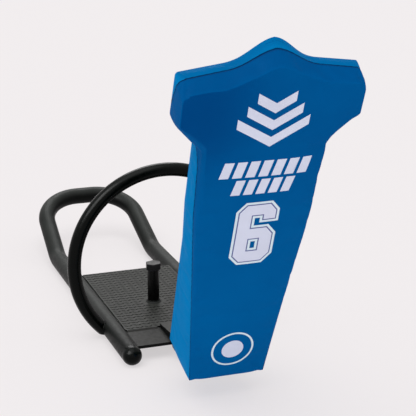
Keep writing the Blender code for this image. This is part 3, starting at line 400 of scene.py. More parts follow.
class Finish(Nodes):
    """A Principled material that is built up from nodes in object space."""

    def __init__(self, name, colour, roughness, metallic=0.0, specular=0.5):
        self.made = bpy.data.materials.new(name)
        self.made.use_nodes = True
        self.made.diffuse_color = colour
        super().__init__(self.made.node_tree)
        self.shader = self.tree.nodes["Principled BSDF"]
        self.paint(colour)
        self.set("Roughness", roughness)
        self.set("Metallic", metallic)
        self.set("Specular IOR Level", specular)
        self.place = self.node("ShaderNodeTexCoord").outputs["Object"]
        self.normal = None

    def set(self, key, value):
        self.feed(self.shader.inputs[key], value)

    def paint(self, colour):
        self.set("Base Color", colour)

    def noise(self, scale, detail=3.0, rough=0.55, place=None):
        inputs = {"Vector": place or self.place, "Scale": scale, "Detail": detail, "Roughness": rough}
        return self.node("ShaderNodeTexNoise", inputs).outputs["Fac"]

    def streaks(self, scale, detail, rough):
        """Noise with a scale of its own along each axis."""
        place = self.node("ShaderNodeMapping", {"Vector": self.place, "Scale": scale}).outputs[0]
        return self.noise(1.0, detail, rough, place)

    def weave(self):
        """The crossing threads of a coated fabric."""
        across, up = (self.node("ShaderNodeTexWave", {"Vector": self.place, "Scale": 330.0},
                                bands_direction=way).outputs["Fac"] for way in "XZ")
        return self.times(across, up)

    def between(self, value, low, high, to_low=0.0, to_high=1.0):
        """A soft step over a range of values, which may run downwards."""
        inputs = {"Value": value, "From Min": low, "From Max": high, "To Min": to_low, "To Max": to_high}
        return self.node("ShaderNodeMapRange", inputs, interpolation_type="SMOOTHSTEP").outputs[0]

    def mix(self, share, first, second, blend="MIX"):
        inputs = {0: share, 6: first, 7: second}
        return self.node("ShaderNodeMix", inputs, data_type="RGBA", blend_type=blend).outputs[2]

    def facing(self, axis, *steps):
        """A soft step over how far the surface faces along an axis of the frame, from -1 to 1."""
        normal = self.node("ShaderNodeNewGeometry").outputs["Normal"]
        return self.between(self.node("ShaderNodeSeparateXYZ", {0: normal}).outputs[axis], *steps)

    def along(self, axis, *steps):
        """A soft step over the place along an axis of the frame."""
        return self.between(self.node("ShaderNodeSeparateXYZ", {0: self.place}).outputs[axis], *steps)

    def bump(self, height, distance, strength):
        inputs = {"Strength": strength, "Distance": distance, "Height": height}
        if self.normal:
            inputs["Normal"] = self.normal
        self.normal = self.node("ShaderNodeBump", inputs).outputs[0]
        self.set("Normal", self.normal)


def painted_steel(name, colour, dust_and_top_light, roughness, peel, specular, dragged=0.0, darker_front=0.0):
    """Coated steel: orange peel, uneven gloss, fine scuffs, a lighter colour on what faces up that is partly
    dust and partly painted top light, and wear on what drags.
    """
    colour, dust_and_top_light = linear(*colour), linear(*dust_and_top_light)
    made = Finish(name, colour, roughness, specular=specular)
    fine = made.noise(60.0, 5.0, 0.65)
    scuff = made.between(made.streaks((240.0, 12.0, 240.0), 4.0, 0.7), 0.60, 0.70)
    worn = made.times(scuff, made.between(fine, 0.50, 0.66))
    patchy = made.between(made.noise(7.0, 4.0), 0.30, 0.70, 0.70, 1.0)
    # What faces up takes the lighter colour, partly dust and partly painted top light
    lying = made.times(made.facing("Z", 0.15, 0.97), patchy)
    # Less of that painted top light and dust towards the front, so the front is darker
    if darker_front:
        lying = made.times(lying, made.along("Y", -0.38, -0.02, 1 - darker_front, 1.0))
    tint = made.mix(lying, colour, dust_and_top_light)
    tint = made.mix(made.times(worn, 0.18), tint, linear(84, 83, 80))
    if dragged:
        under = made.facing("Z", -0.80, -0.97)
        scraped = made.between(made.streaks((160.0, 4.0, 30.0), 4.0, 0.7), 0.38, 0.62)
        tint = made.mix(made.times(under, made.times(scraped, dragged)), tint, linear(128, 126, 122))
    made.paint(tint)
    made.set("Roughness", made.between(fine, 0.3, 0.7, roughness - 0.05, roughness + 0.08))
    made.bump(made.noise(900.0, 2.0), 0.0001, peel)
    made.bump(fine, 0.0002, peel * 0.5)
    return made.made


def vinyl(name):
    """Coated fabric in two blues: its weave, a front a little darker towards the top, painted shade on the
    upper left of the front and on what faces up, and dark seam lines.
    """
    made = Finish(name, linear(0, 93, 159), 0.58, specular=0.005)
    front = made.mix(made.along("Z", 0.35, 1.15), linear(0, 99, 166), linear(0, 92, 158))
    # Painted shade in a patch on the upper left of the front panel
    painted_shade_patch = made.times(made.along("X", 0.04, -0.24), made.along("Z", 0.85, 1.12))
    flat = made.times(made.facing("Z", 0.22, 0.06), made.facing("X", -0.55, -0.30))
    front = made.mix(made.times(painted_shade_patch, flat), front, linear(0, 76, 141))
    seam = made.node("ShaderNodeAttribute", attribute_name="seam").outputs["Fac"]
    strip = made.between(seam, -0.0006, 0.0006)
    colour = made.mix(strip, front, linear(0, 130, 198))
    darker = made.mix(1.0, colour, (0.80, 0.84, 0.88, 1.0), "MULTIPLY")
    cloth = made.noise(14.0, 4.0, 0.6)
    colour = made.mix(made.times(made.between(made.noise(3.2), 0.35, 0.70), 0.45), colour, darker)
    colour = made.mix(made.times(made.between(cloth, 0.40, 0.75), 0.22), colour, darker)
    # Painted shade on what faces up, fullest on the strips
    painted_top_shade = made.mix(1.0, colour, (0.62, 0.62, 0.67, 1.0), "MULTIPLY")
    lying = made.times(made.facing("Z", 0.10, 0.90), made.between(strip, 0.0, 1.0, 0.7, 1.0))
    colour = made.mix(lying, colour, painted_top_shade)
    line = made.times(made.between(made.math("ABSOLUTE", seam), 0.0008, 0.0032, 1.0, 0.0), 0.92)
    made.paint(made.mix(line, colour, linear(4, 26, 66)))
    made.set("Roughness", made.between(cloth, 0.3, 0.7, 0.42, 0.54))
    made.bump(made.weave(), 0.0002, 0.20)
    grain = made.node("ShaderNodeTexVoronoi", {"Vector": made.place, "Scale": 420.0})
    made.bump(grain.outputs["Distance"], 0.0002, 0.22)
    made.bump(cloth, 0.0012, 0.30)
    return made.made


def ink(name, colour, roughness=0.5):
    """Printed vinyl ink: slightly uneven cover, with the weave showing through."""
    made = Finish(name, colour, roughness, specular=0.10)
    thin = made.between(made.noise(260.0, 4.0, 0.7), 0.56, 0.74)
    patchy = made.between(made.noise(9.0), 0.35, 0.70)
    darker = (*(c * 0.86 for c in colour[:3]), 1.0)
    tint = made.mix(made.times(patchy, 0.35), colour, darker)
    made.paint(made.mix(made.times(thin, 0.25), tint, darker))
    made.bump(made.weave(), 0.0001, 0.2)
    return made.made


def bare_metal(name, colour, roughness, dust_and_top_light=None):
    """Plated or oiled metal: machined lines, uneven gloss, a dull film in patches, and, if given, a lighter
    colour on what faces up that is dust and painted top light.
    """
    made = Finish(name, colour, roughness, 0.92)
    lines = made.streaks((60.0, 60.0, 600.0), 3.0, 0.6)
    film = made.between(made.noise(38.0, 5.0, 0.65), 0.42, 0.68)
    tint = made.mix(made.times(film, 0.4), colour, (*(c * 0.42 for c in colour[:3]), 1.0))
    if dust_and_top_light:
        # What faces up takes the lighter colour: dust and painted top light
        tint = made.mix(made.facing("Z", 0.6, 0.97), tint, dust_and_top_light)
    made.paint(tint)
    made.set("Roughness", made.between(lines, 0.3, 0.7, roughness - 0.08, roughness + 0.14))
    made.bump(lines, 0.0001, 0.25)
    return made.made


def rubber(name):
    """Dull rubber with a pale bloom in patches."""
    made = Finish(name, linear(30, 30, 30), 0.82)
    bloom = made.between(made.noise(55.0, 5.0, 0.7), 0.45, 0.75)
    made.paint(made.mix(made.times(bloom, 0.4), linear(26, 26, 26), linear(58, 57, 55)))
    made.bump(made.noise(700.0, 2.0), 0.0002, 0.5)
    return made.made


def plywood(name):
    """Black-stained plywood: long grain and pores."""
    made = Finish(name, linear(34, 32, 31), 0.62)
    grain = made.streaks((95.0, 6.0, 6.0), 5.0, 0.7)
    pores = made.between(made.streaks((700.0, 24.0, 24.0), 2.0, 0.5), 0.60, 0.72)
    colour = made.mix(made.between(grain, 0.35, 0.70), linear(24, 22, 21), linear(52, 47, 42))
    made.paint(made.mix(made.times(pores, 0.5), colour, linear(12, 11, 10)))
    made.bump(grain, 0.0006, 0.35)
    made.bump(pores, 0.0003, 0.4)
    return made.made


# Paints: colour, colour of what faces up (dust and painted top light), roughness, orange peel, specular
# level, wear, and how much darker the front is
HOOP_PAINT = painted_steel("gloss_black_coat", (0, 2, 1), (14, 18, 16), 0.24, 0.10, 0.09)
PLATE_PAINT = painted_steel("front_plate_coat", (6, 6, 6), (32, 33, 31), 0.46, 0.25, 0.09)
FRAME_PAINT = painted_steel("satin_black_coat", (2, 4, 3), (45, 48, 46), 0.42, 0.25, 0.09, 0.8, 0.75)
# The lugs are painted darker than the plate: painted shade for the dark strokes their shaded sides make
LUG_PAINT = painted_steel("tread_lug_coat", (3, 3, 3), (18, 19, 17), 0.36, 0.30, 0.07)
WELD_PAINT = painted_steel("weld_coat", (24, 24, 23), (34, 35, 33), 0.45, 0.25, 0.09)
POST_PAINT = painted_steel("post_coat", (1, 1, 1), (14, 14, 14), 0.28, 0.15, 0.10)
# The plating's lighter top colour is dust and painted top light
ZINC = bare_metal("dark_plating", linear(30, 30, 32), 0.42, linear(46, 46, 46))
VINYL = vinyl("two_blue_vinyl")
INK_FILL = ink("lavender_ink", linear(228, 234, 254))
INK_EDGE = ink("pale_ink", linear(228, 246, 255))
INK_LINE = ink("slate_ink", linear(96, 104, 160))
SEAM_THREAD = ink("seam_thread", linear(14, 60, 118), 0.7)

SLOT_FINISH = {"frame_paint": FRAME_PAINT, "hoop_paint": HOOP_PAINT, "plate_paint": PLATE_PAINT,
               "tread_paint": painted_steel("tread_coat", (6, 6, 6), (56, 58, 55), 0.48, 0.30, 0.10),
               "zinc_hardware": ZINC, "spring_steel": bare_metal("oiled_wire", linear(92, 90, 88), 0.34),
               "bush_bronze": bare_metal("machined_bronze", linear(176, 128, 70), 0.34),
               "stop_rubber": rubber("black_rubber"), "back_board": plywood("black_plywood"),
               "pad_foam": VINYL, "pad_cover": VINYL}
for row in frame["record"]["subparts"]:
    finish = POST_PAINT if row["node"] == "weight_post" else SLOT_FINISH[row["material_slot"]]
    for held in frame["nodes"][row["node"]].material_slots:
        held.material = finish


# Torso

def pad_world(points):
    """Torso points (x, depth, s) in the frame."""
    x, depth, s = np.asarray(points, float).T
    y = FOOT_Y - AFT + depth * cos(LEAN) - s * sin(LEAN)
    z = FOOT_Z + depth * sin(LEAN) + s * cos(LEAN)
    return np.stack([x, y, z], 1)


SIDE = rounded(SIDE_CORNERS, SIDE_RADII)[:-1]


def half_width(s):
    return np.interp(s, SIDE[:, 1], SIDE[:, 0])


def back_depth(s):
    return np.interp(s, *BACK_LINE)


def hump(x, height, reach):
    return height * (1 + np.cos(pi * np.minimum(np.abs(x), reach) / reach)) / 2


def top_line(x, share=0.0):
    """Height of the top edge, from its front at share 0 to its back at share 1."""
    height = CORNER_S + SHOULDER_SLOPE * (CORNER_X - np.abs(x)) + hump(x, *CROWN)
    return height + hump(x, *NECK) * share


def underarm(s):
    """How fully the front's side edge is chamfered: most under the arm, and fading down to the chest."""
    low = 0.34 * smooth(0.60, 0.86, s) + 0.66 * smooth(0.93, ARMPIT_S + 0.058, s)
    return low * (1 - smooth(SHOULDER_S - 0.012, SHOULDER_S + 0.02, s))


def edge_inset(s):
    """Width of the front's turned side edge: narrower up to the shoulders, wider at the corners."""
    plain = 0.012 - 0.008 * smooth(CHEST_S, SHOULDER_S, s) + 0.018 * smooth(1.165, CORNER_S, s)
    return plain + (UNDERARM_CHAMFER - plain) * underarm(s)


def front_reach(x, s, nominal):
    """How far the front face stands before the seam plane, without its small dents.

    It turns back at the side edges, and falls to the seam in a soft crease below the top line.
    """
    width = half_width(nominal)
    rise = FRONT_RISE * s
    crown = FRONT_CROWN * (1 - (x / width) ** 2) * smooth(0, 0.15, s)
    edge = edge_inset(nominal)
    drop = np.minimum(edge, rise) + (rise - np.minimum(edge, rise)) * underarm(nominal)
    share = np.clip((width - np.abs(x)) / edge, 0, 1)
    turned = drop * (1 - np.sqrt(np.clip(1 - (1 - share) ** 2, 0, 1)))
    past = np.clip(np.abs(x) - (width - edge - CREASE_RADIUS), 0, CREASE_RADIUS)
    fall = TOP_CHAMFER + CREASE_RADIUS - np.sqrt(CREASE_RADIUS ** 2 - past ** 2)
    t = (top_line(x) - s) / fall
    h = np.clip(0.5 + 0.5 * (1 - t) / CREASE_SOFTNESS, 0, 1)
    below = np.clip(1 - h + t * h - CREASE_SOFTNESS * h * (1 - h), 0, 1)
    return (rise + crown - turned) * below


# Rows of the torso's grid: at even heights first, and then at these drops below the top line
EVEN_ROWS = np.arange(0, 1.180, 0.0065)
TOP_DROPS = np.array([48, 43, 38.5, 35, 31, 26, 20, 14, 8, 3, 0]) / 1000
ROW_S = np.concatenate([EVEN_ROWS, CORNER_S - TOP_DROPS])
ROW_DROP = np.concatenate([np.full(len(EVEN_ROWS), np.nan), TOP_DROPS])
FLAT_COLUMNS = 34
EDGE_COLUMNS = 8
# Rings of the strips, as shares of the way to the seam, and from it to the back
BEFORE_SEAM = (0.25, 0.5, 0.72, 0.88, 0.96, 1.0)
BEHIND_SEAM = (0.014, 0.035, 0.07, 0.13, 0.21, 0.31, 0.42, 0.53, 0.64, 0.75, 0.85, 0.93, 0.978)
# Rings of the back flap and of the cavity's wall: inset, share of the neck's height, depth before the back
FLAP_RINGS = ((0.0012, 1.0, 0.0), (0.0045, 1.0, -0.0004), (0.015, 1.0, -0.0006), (0.032, 1.0, -0.0004),
              (FLAP, 1.0, 0.0), (FLAP, 0.9, SKIN), (SKIN, 0.9, SKIN + 0.0003), (SKIN, 0.9, BOARD))
# What the seam attribute says of points far behind the seam
FAR_BEHIND = 0.02


def pad_grid(inset=0.0, share=0.0):
    """x and s of the grid points of a face of the torso, inset from its outline."""
    edge = edge_inset(ROW_S)[:, None]
    middle = (half_width(ROW_S) - inset)[:, None] - edge
    turn = np.arange(1, EDGE_COLUMNS + 1) / EDGE_COLUMNS * pi / 2
    right = np.hstack([middle * np.arange(FLAT_COLUMNS + 1) / FLAT_COLUMNS, middle + edge * np.sin(turn)])
    x = np.hstack([-right[:, :0:-1], right])
    top = top_line(x, share) - inset
    nominal, drop = ROW_S[:, None], ROW_DROP[:, None]
    stretch = (nominal - CHEST_S) / (CORNER_S - CHEST_S)
    scaled = np.where(nominal > CHEST_S, CHEST_S + stretch * (top - CHEST_S), np.maximum(nominal, inset))
    s = np.where(np.isnan(drop), scaled, top - np.nan_to_num(drop))
    near_top = np.clip(1 - np.nan_to_num(drop, nan=1.0) / TOP_CHAMFER, 0, 1)
    return x * (1 - (1 - share) * TOP_NARROWING / CORNER_X * near_top), s


def pad_back(inset=0.0, share=1.0, before=0.0):
    """Grid points of the back face, moved forwards by a depth."""
    x, s = pad_grid(inset, share)
    return np.stack([x, back_depth(s) - before, s], -1)


def rim_of(grid):
    """The border of a grid, once round: bottom, right side, top, left side."""
    return np.concatenate([grid[0], grid[1:-1, -1], grid[-1, ::-1], grid[1:-1, 0][::-1]])


def dents(x, s):
    """Soft unevenness of the stretched cover, in metres outwards."""
    spots = np.stack([x.ravel(), s.ravel() * 0.8, np.zeros(x.size)], 1)
    return sum(height * wobble(spots, size, seed) for height, size, seed in DENTS).reshape(x.shape)


def seam_pucker(along, distance):
    """Small gathers square to a seam, which die away from it."""
    spots = along.ravel()[:, None] * (1, 0, 0)
    wave = np.sin(along * 2 * pi / PUCKER_PITCH + 2.5 * wobble(spots, 0.09, 4).reshape(along.shape))
    return PUCKER_HEIGHT * wave * np.exp(-np.abs(distance) / PUCKER_REACH)


def strip_edge(s):
    """Depth at which the paler side strip begins, by height, on the torso's sides."""
    deep = back_depth(s) + 0.004
    low = np.clip((s - STRIP_LEAVES) / (STRIP_GONE - STRIP_LEAVES), 0, 1)
    made = np.where(s < STRIP_LEAVES, 0, deep * (1 - np.sqrt(1 - low ** 2)))
    made = np.where(s > STRIP_GONE, deep, made)
    high = np.clip((STRIP_TOP - s) / STRIP_RETURN, 0, 1)
    return np.where(s > STRIP_TOP - STRIP_RETURN, deep * high ** 0.75, made)


def cover_mesh():
    """The cover's points in the torso's frame, its faces, and each point's distance past the strip's seam.

    It is one closed form: front panel, side and top strips, flaps on the back, and a cavity for the boards.
    """
    x, s = pad_grid()
    reach = front_reach(x, s, ROW_S[:, None])
    drop = top_line(x) - s
    side_gap = half_width(ROW_S[:, None]) - np.abs(x)
    fade = smooth(0, 0.03, side_gap) * smooth(0, 0.03, drop) * smooth(0, 0.03, s)
    pucker = seam_pucker(x, drop) * smooth(0, 0.004, drop)
    pucker += (seam_pucker(s, side_gap + 0.02) * smooth(0, 0.01, side_gap)
               + seam_pucker(x, s) * smooth(0, 0.006, s))
    front = np.stack([x, -(np.maximum(reach, 0.0005) + dents(x, s) * fade + pucker), s], -1)
    fore = rim_of(front)
    span = rim_of(pad_back()) - fore
    count = len(fore)
    row = rim_of(np.indices(x.shape)[0])
    top, low = (row == len(x) - 1) * 1.0, (row == 0) * 1.0
    side = 1 - top - low
    outward = np.stack([np.sign(fore[:, 0]) * side, np.zeros(count), top - low], 1)
    along = lengths_along(fore)

    def past_seam(ring):
        return ring[:, 1] - np.where(side > 0, strip_edge(ring[:, 2]), 0.0)

    start = np.clip(-fore[:, 1] / span[:, 1], 0.03, 1)
    rings, seams = [], []
    for share in [start * q for q in BEFORE_SEAM] + [start + (1 - start) * q for q in BEHIND_SEAM]:
        ring = fore + span * share[:, None]
        past = past_seam(ring)
        away = np.abs(past)
        puff = STRIP_PUFF * np.sin(pi * np.clip(share, 0, 1)) ** 0.8
        puff += seam_pucker(along, past) * smooth(0, 0.002, away) * (1 - low)
        puff -= GROOVE_DEPTH * np.exp(-(past / GROOVE_WIDTH) ** 2)
        puff += side * 0.0012 * wobble(ring, 0.13, 6) * smooth(0, 0.02, away) * smooth(0, 0.06, 1 - share)
        rings.append(ring + outward * puff[:, None])
        seams.append(past)
    corner = fore + span * 0.994
    rings.append(corner + outward * 0.0006)
    seams.append(past_seam(corner))
    for inset, share, before in FLAP_RINGS:
        rings.append(rim_of(pad_back(inset, share, before)))
        seams.append(np.full(count, FAR_BEHIND))
    # The last ring is the rim of the cavity's floor, which has its points already
    rings, seams = rings[:-1], seams[:-1]
    index = np.arange(x.size).reshape(x.shape)
    floor = x.size + count * len(rings) + index
    strips = x.size + np.arange(count * len(rings)).reshape(-1, count)
    faces = (quads(index) + quads(np.vstack([rim_of(index), strips, rim_of(floor)]), True, RING_ORDER)
             + quads(floor, order=FLIPPED))
    points = np.vstack([front.reshape(-1, 3), *rings, pad_back(SKIN, 0.9, BOARD).reshape(-1, 3)])
    to_seam = -np.minimum(drop + 0.001, side_gap + np.maximum(reach, 0)).ravel()
    return points, faces, np.concatenate([to_seam, *seams, np.full(x.size, FAR_BEHIND)])


def build_stitches(cover):
    """Thread on the front panel's side of the seams, and staples that hold the flaps to the boards."""
    tree = BVHTree.FromPolygons(*mesh_of(cover))

    def sewn(line, length, pitch, radius, height):
        """Stitches on the cover, next to a line in the torso's frame."""
        found = [tree.find_nearest(p) for p in pad_world(resample(line, pitch))]
        spots, normals = (np.array([f[k] for f in found]) for k in (0, 1))
        parts = []
        for spot, normal, run in zip(spots, normals, np.gradient(spots, axis=0)):
            run = unit(run - normal * (run @ normal))
            path = [spot + run * length * u + normal * height * v for u, v in STITCH_LINE]
            parts.append(sweep(path, radius * np.array((0.7, 1, 1, 1, 0.7)), 6, normal))
        return parts

    x = np.linspace(-TOP_STITCHED, TOP_STITCHED, 200)
    threads = sewn(np.stack([x, np.full(200, -SEAM_TO_THREAD), top_line(x) - 0.001], 1), *STITCH)
    for stretch in STITCHED:
        s = np.linspace(*stretch)
        seam = np.stack([s, strip_edge(s)], 1)
        seam_s, depth = (seam - left_of(np.gradient(seam, axis=0)) * SEAM_TO_THREAD).T
        for hand in (-1, 1):
            threads += sewn(np.stack([hand * (half_width(seam_s) + 0.004), depth, seam_s], 1), *STITCH)
    piece("seam_stitches", *join(threads), SEAM_THREAD, "dummy_arm", "pad_cover")
    staples = sewn(rim_of(pad_back(STAPLE_INSET, before=-0.0005)), *STAPLE)
    piece("flap_staples", *join(staples), ZINC, "dummy_arm", "zinc_hardware")


def build_torso():
    """The sewn cover, swollen by the simulated foam."""
    points, faces, seam = cover_mesh()
    made = piece("torso_cover", pad_world(points + swelling(points)), faces, VINYL, "dummy_arm", "pad_cover",
                 50, ("pad_cover", "pad_foam"))
    made.data.attributes.new("seam", "FLOAT", "POINT").data.foreach_set("value", seam.astype(np.float32))
    return made


# Swollen foam

def foam_shell():
    """The torso's outer form, closed by its back, as a scratch object in the torso's frame."""
    x, s = pad_grid()
    front = np.stack([x, -np.maximum(front_reach(x, s, ROW_S[:, None]), 0.0005), s], -1)
    index = np.arange(x.size).reshape(x.shape)
    both = zip(quads(index), quads(index + x.size, order=(3, 2, 1, 0)))
    faces = [face for pair in both for face in pair]
    faces += quads(np.stack([rim_of(index), rim_of(index) + x.size]), True, RING_ORDER)
    return shape("foam_shell", np.vstack([front, pad_back()]).reshape(-1, 3), faces)


def simulate_foam():
    """Cloth simulation of the cover under the foam's pressure: where points start, and how far they move."""
    shell = foam_shell()
    change = shell.modifiers.new("even", "REMESH")
    change.mode = "VOXEL"
    change.voxel_size = SIM_CELL
    settled(shell)
    start = np.array([v.co for v in shell.data.vertices])
    x, depth, s = start.T
    past = np.abs(x) > half_width(np.minimum(s, CORNER_S)) - SIM_CELL
    past |= s > top_line(x) - SIM_CELL
    seam = past & (np.abs(depth - np.where(s > CORNER_S - 0.01, 0, strip_edge(s))) < 0.8 * SIM_CELL)
    fixed = np.flatnonzero((depth > back_depth(s) - 1.5 * SIM_CELL) | seam)
    shell.vertex_groups.new(name="held").add(fixed.tolist(), 1.0, "REPLACE")
    cloth = shell.modifiers.new("cover", "CLOTH")
    for key, value in {"quality": 6, "mass": 0.5, "air_damping": 3.0, "tension_stiffness": SIM_STIFFNESS,
                       "compression_stiffness": SIM_STIFFNESS, "shear_stiffness": SIM_STIFFNESS / 3,
                       "bending_stiffness": SIM_BENDING, "use_pressure": True,
                       "uniform_pressure_force": SIM_PRESSURE, "shrink_min": -SIM_SLACK,
                       "vertex_group_mass": "held"}.items():
        setattr(cloth.settings, key, value)
    cloth.settings.effector_weights.gravity = 0
    cloth.collision_settings.use_collision = False
    cloth.point_cache.frame_end = SIM_FRAMES
    for frame_number in range(1, SIM_FRAMES + 1):
        SCENE.frame_set(frame_number)
    seen = shell.evaluated_get(bpy.context.evaluated_depsgraph_get())
    moved = np.array([v.co for v in seen.data.vertices]) - start
    SCENE.frame_set(1)
    tree = KDTree(len(start))
    for k, point in enumerate(start):
        tree.insert(point, k)
    tree.balance()
    bpy.data.objects.remove(shell)
    return tree, moved


def swelling(points):
    """How far the simulation moves points of the torso's cover, capped, and faded out on the back."""
    made = np.zeros(points.shape)
    if FOAM is None:
        return made
    tree, moved = FOAM
    for k, point in enumerate(points):
        _, index, distance = zip(*tree.find_n(point, SIM_NEIGHBOURS))
        weight = 1 / (np.array(distance) + 0.25 * SIM_CELL) ** 2
        made[k] = weight @ moved[list(index)] / weight.sum()
    size = np.linalg.norm(made, axis=1)
    made *= (SIM_CAP * np.tanh(size / SIM_CAP) / np.maximum(size, 1e-9))[:, None]
    ahead = back_depth(points[:, 2]) - points[:, 1]
    return made * smooth(0.003, 0.03, ahead)[:, None]


FOAM = simulate_foam()


# Prints

PRINT_CELL = 0.009
# The numeral's outline and its eye, in x and s, and its layers: inset, lower and upper height, ink
SIX = [(-0.0425, 0.526), (0.0454, 0.526), (0.078, 0.562), (0.078, 0.6506), (0.0473, 0.6875), (-0.005, 0.6875),
       (-0.005, 0.7186), (0.0128, 0.7186), (0.0128, 0.6985), (0.0785, 0.6985), (0.0785, 0.7480),
       (0.0488, 0.7835), (-0.0425, 0.7835), (-0.0730, 0.7470), (-0.0730, 0.5600)]
SIX_EYE = [(-0.006, 0.5933), (-0.006, 0.6214), (0.010, 0.6214), (0.010, 0.5933)]
SIX_LAYERS = (("numeral_edge", 0, 0.0001, 0.0006, INK_EDGE),
              ("numeral_line", 0.0085, 0.0002, 0.0009, INK_LINE),
              ("numeral_fill", 0.0125, 0.0003, 0.0012, INK_FILL))
# Chevrons: half the width, and height of the tip
CHEVRONS = ((0.120, 1.000), (0.092, 1.062), (0.064, 1.124))
CHEVRON_SLOPE = 0.62
CHEVRON_BAND = 0.036
# Rows of blocks: left, right, low, high, number of blocks
BLOCK_ROWS = ((-0.152, 0.156, 0.886, 0.946, 7), (-0.104, 0.108, 0.818, 0.875, 5))
BLOCK_SHARE = 0.72
BLOCK_SLANT = 0.014
# The ring's height, and the radii of its outer edge, its inner edge and its disc
RING_S = 0.137
RING_RADII = (0.078, 0.071, 0.040)


def on_front(x, s, proud):
    """Points of the torso's front face, raised by a small height."""
    reach = front_reach(x, s, np.minimum(s, CORNER_S)) + dents(x, s)
    flush = np.stack([x, -reach, s], -1)
    return flush + swelling(flush) - (0, proud, 0)


def inside_loops(points, loops):
    """Even-odd test of points in closed loops."""
    made = np.zeros(len(points), bool)
    for loop in loops:
        for (ax, ay), (bx, by) in zip(loop, np.roll(loop, -1, 0)):
            crosses = (ay > points[:, 1]) != (by > points[:, 1])
            if ay != by:
                made ^= crosses & (points[:, 0] < (bx - ax) * (points[:, 1] - ay) / (by - ay) + ax)
    return made


def offset_loop(loop, distance):
    """A loop moved inwards to its left by a distance, with mitred corners."""
    loop = np.array(loop, float)
    normal = left_of(np.roll(loop, -1, 0) - loop)
    mean = unit(np.roll(normal, 1, 0) + normal)
    return loop + mean * distance / np.sum(mean * normal, 1, keepdims=True)


def print_on_front(name, loops, made_of=INK_FILL, low=0.0001, high=0.0007):
    """A thin printed sheet that lies on the torso's front, between two heights."""
    border, edges = [], []
    for loop in loops:
        start = len(border)
        for a, b in zip(loop, np.roll(loop, -1, 0)):
            steps = max(1, int(np.linalg.norm(b - a) / PRINT_CELL))
            border += [a + (b - a) * k / steps for k in range(steps)]
        count = len(border) - start
        edges += [(start + k, start + (k + 1) % count) for k in range(count)]
    border = np.array(border)
    sides = [np.arange(border[:, k].min(), border[:, k].max(), PRINT_CELL) for k in (0, 1)]
    grid = np.stack(np.meshgrid(*sides), -1).reshape(-1, 2)
    grid = grid[inside_loops(grid, loops)]
    gaps = np.array([np.min(np.linalg.norm(border - g, axis=1)) for g in grid])
    flat = np.vstack([border, grid[gaps > PRINT_CELL * 0.45]])
    verts, _, tris, _, _, _ = delaunay_2d_cdt(flat, edges, [], 0, 1e-6)
    verts = np.array(verts)
    centres = np.array([verts[list(t)].mean(0) for t in tris])
    kept = [t for t, inside in zip(tris, inside_loops(centres, loops)) if inside]
    count = len(verts)
    points = np.vstack([on_front(*verts.T, high), on_front(*verts.T, low)])
    faces = kept + [[count + k for k in t[::-1]] for t in kept]
    runs = dict.fromkeys((a, b) for t in kept for a, b in zip(t, t[1:] + t[:1]))
    faces += [(b, a, count + a, count + b) for a, b in runs if (b, a) not in runs]
    piece(name, pad_world(points), faces, made_of, "dummy_arm", "pad_cover")


def build_prints():
    """The jersey numeral and plain marks: chevrons, two rows of slanted blocks and a ring."""
    for name, inset, low, high, made_of in SIX_LAYERS:
        print_on_front(name, [offset_loop(loop, inset) for loop in (SIX, SIX_EYE)], made_of, low, high)
    for number, (half, tip) in enumerate(CHEVRONS):
        rise = half * CHEVRON_SLOPE
        loop = [(0, tip), (half, tip + rise), (half, tip + rise + CHEVRON_BAND), (0, tip + CHEVRON_BAND),
                (-half, tip + rise + CHEVRON_BAND), (-half, tip + rise)]
        print_on_front("chevron_%d" % (number + 1), [loop])
    for row, (left, right, low, high, blocks) in enumerate(BLOCK_ROWS):
        pitch = (right - left) / blocks
        for k in range(blocks):
            a, b = left + k * pitch, left + (k + BLOCK_SHARE) * pitch
            loop = [(a, low), (b, low), (b + BLOCK_SLANT, high), (a + BLOCK_SLANT, high)]
            print_on_front("block_%d_%d" % (row + 1, k + 1), [loop])
    ring = np.array([(cos(a), sin(a)) for a in np.linspace(0, 2 * pi, 72, endpoint=False)])
    outer, inner, disc = ((0, RING_S) + ring * r for r in RING_RADII)
    outer, inner, disc = (resample(loop, 0.006, True) for loop in (outer, inner[::-1], disc))
    print_on_front("ring_mark", [outer, inner], INK_EDGE)
    print_on_front("disc_mark", [disc])


# Tubes, welds and tread

def build_runner():
    """Finer runner tube and noses in the place of the solids."""
    corners = []
    for side in (-1, 1):
        leg = [(side * RUNNER_X, NOSE_END, RUNNER_R), (side * RUNNER_X, RUNNER_LENGTH, RUNNER_R),
               (side * LOOP_X, LOOP_Y, LOOP_Z)]
        corners += leg[::-side]
    path = rounded(corners, [BEND_RADIUS] * 4, radians(3))
    piece("runner_tube_fine", *sweep(aft(path), RUNNER_R, first=(1, 0, 0)), FRAME_PAINT, "sled",
          "frame_paint", 30, ("runner_tube",))
    profile = [(RUNNER_R * cos(a), RUNNER_R * sin(a)) for a in np.radians(np.linspace(-89, 0, 16))]
    profile += [(RUNNER_R, NOSE_END - WELD_GAP)]
    for side, x in (("left", -RUNNER_X), ("right", RUNNER_X)):
        line = [(x, y, RUNNER_R) for _, y in profile]
        piece("runner_nose_fine_" + side, *sweep(aft(line), [r for r, _ in profile], first=(1, 0, 0)),
              HOOP_PAINT, "sled", "frame_paint", 50, ("runner_nose_" + side,))


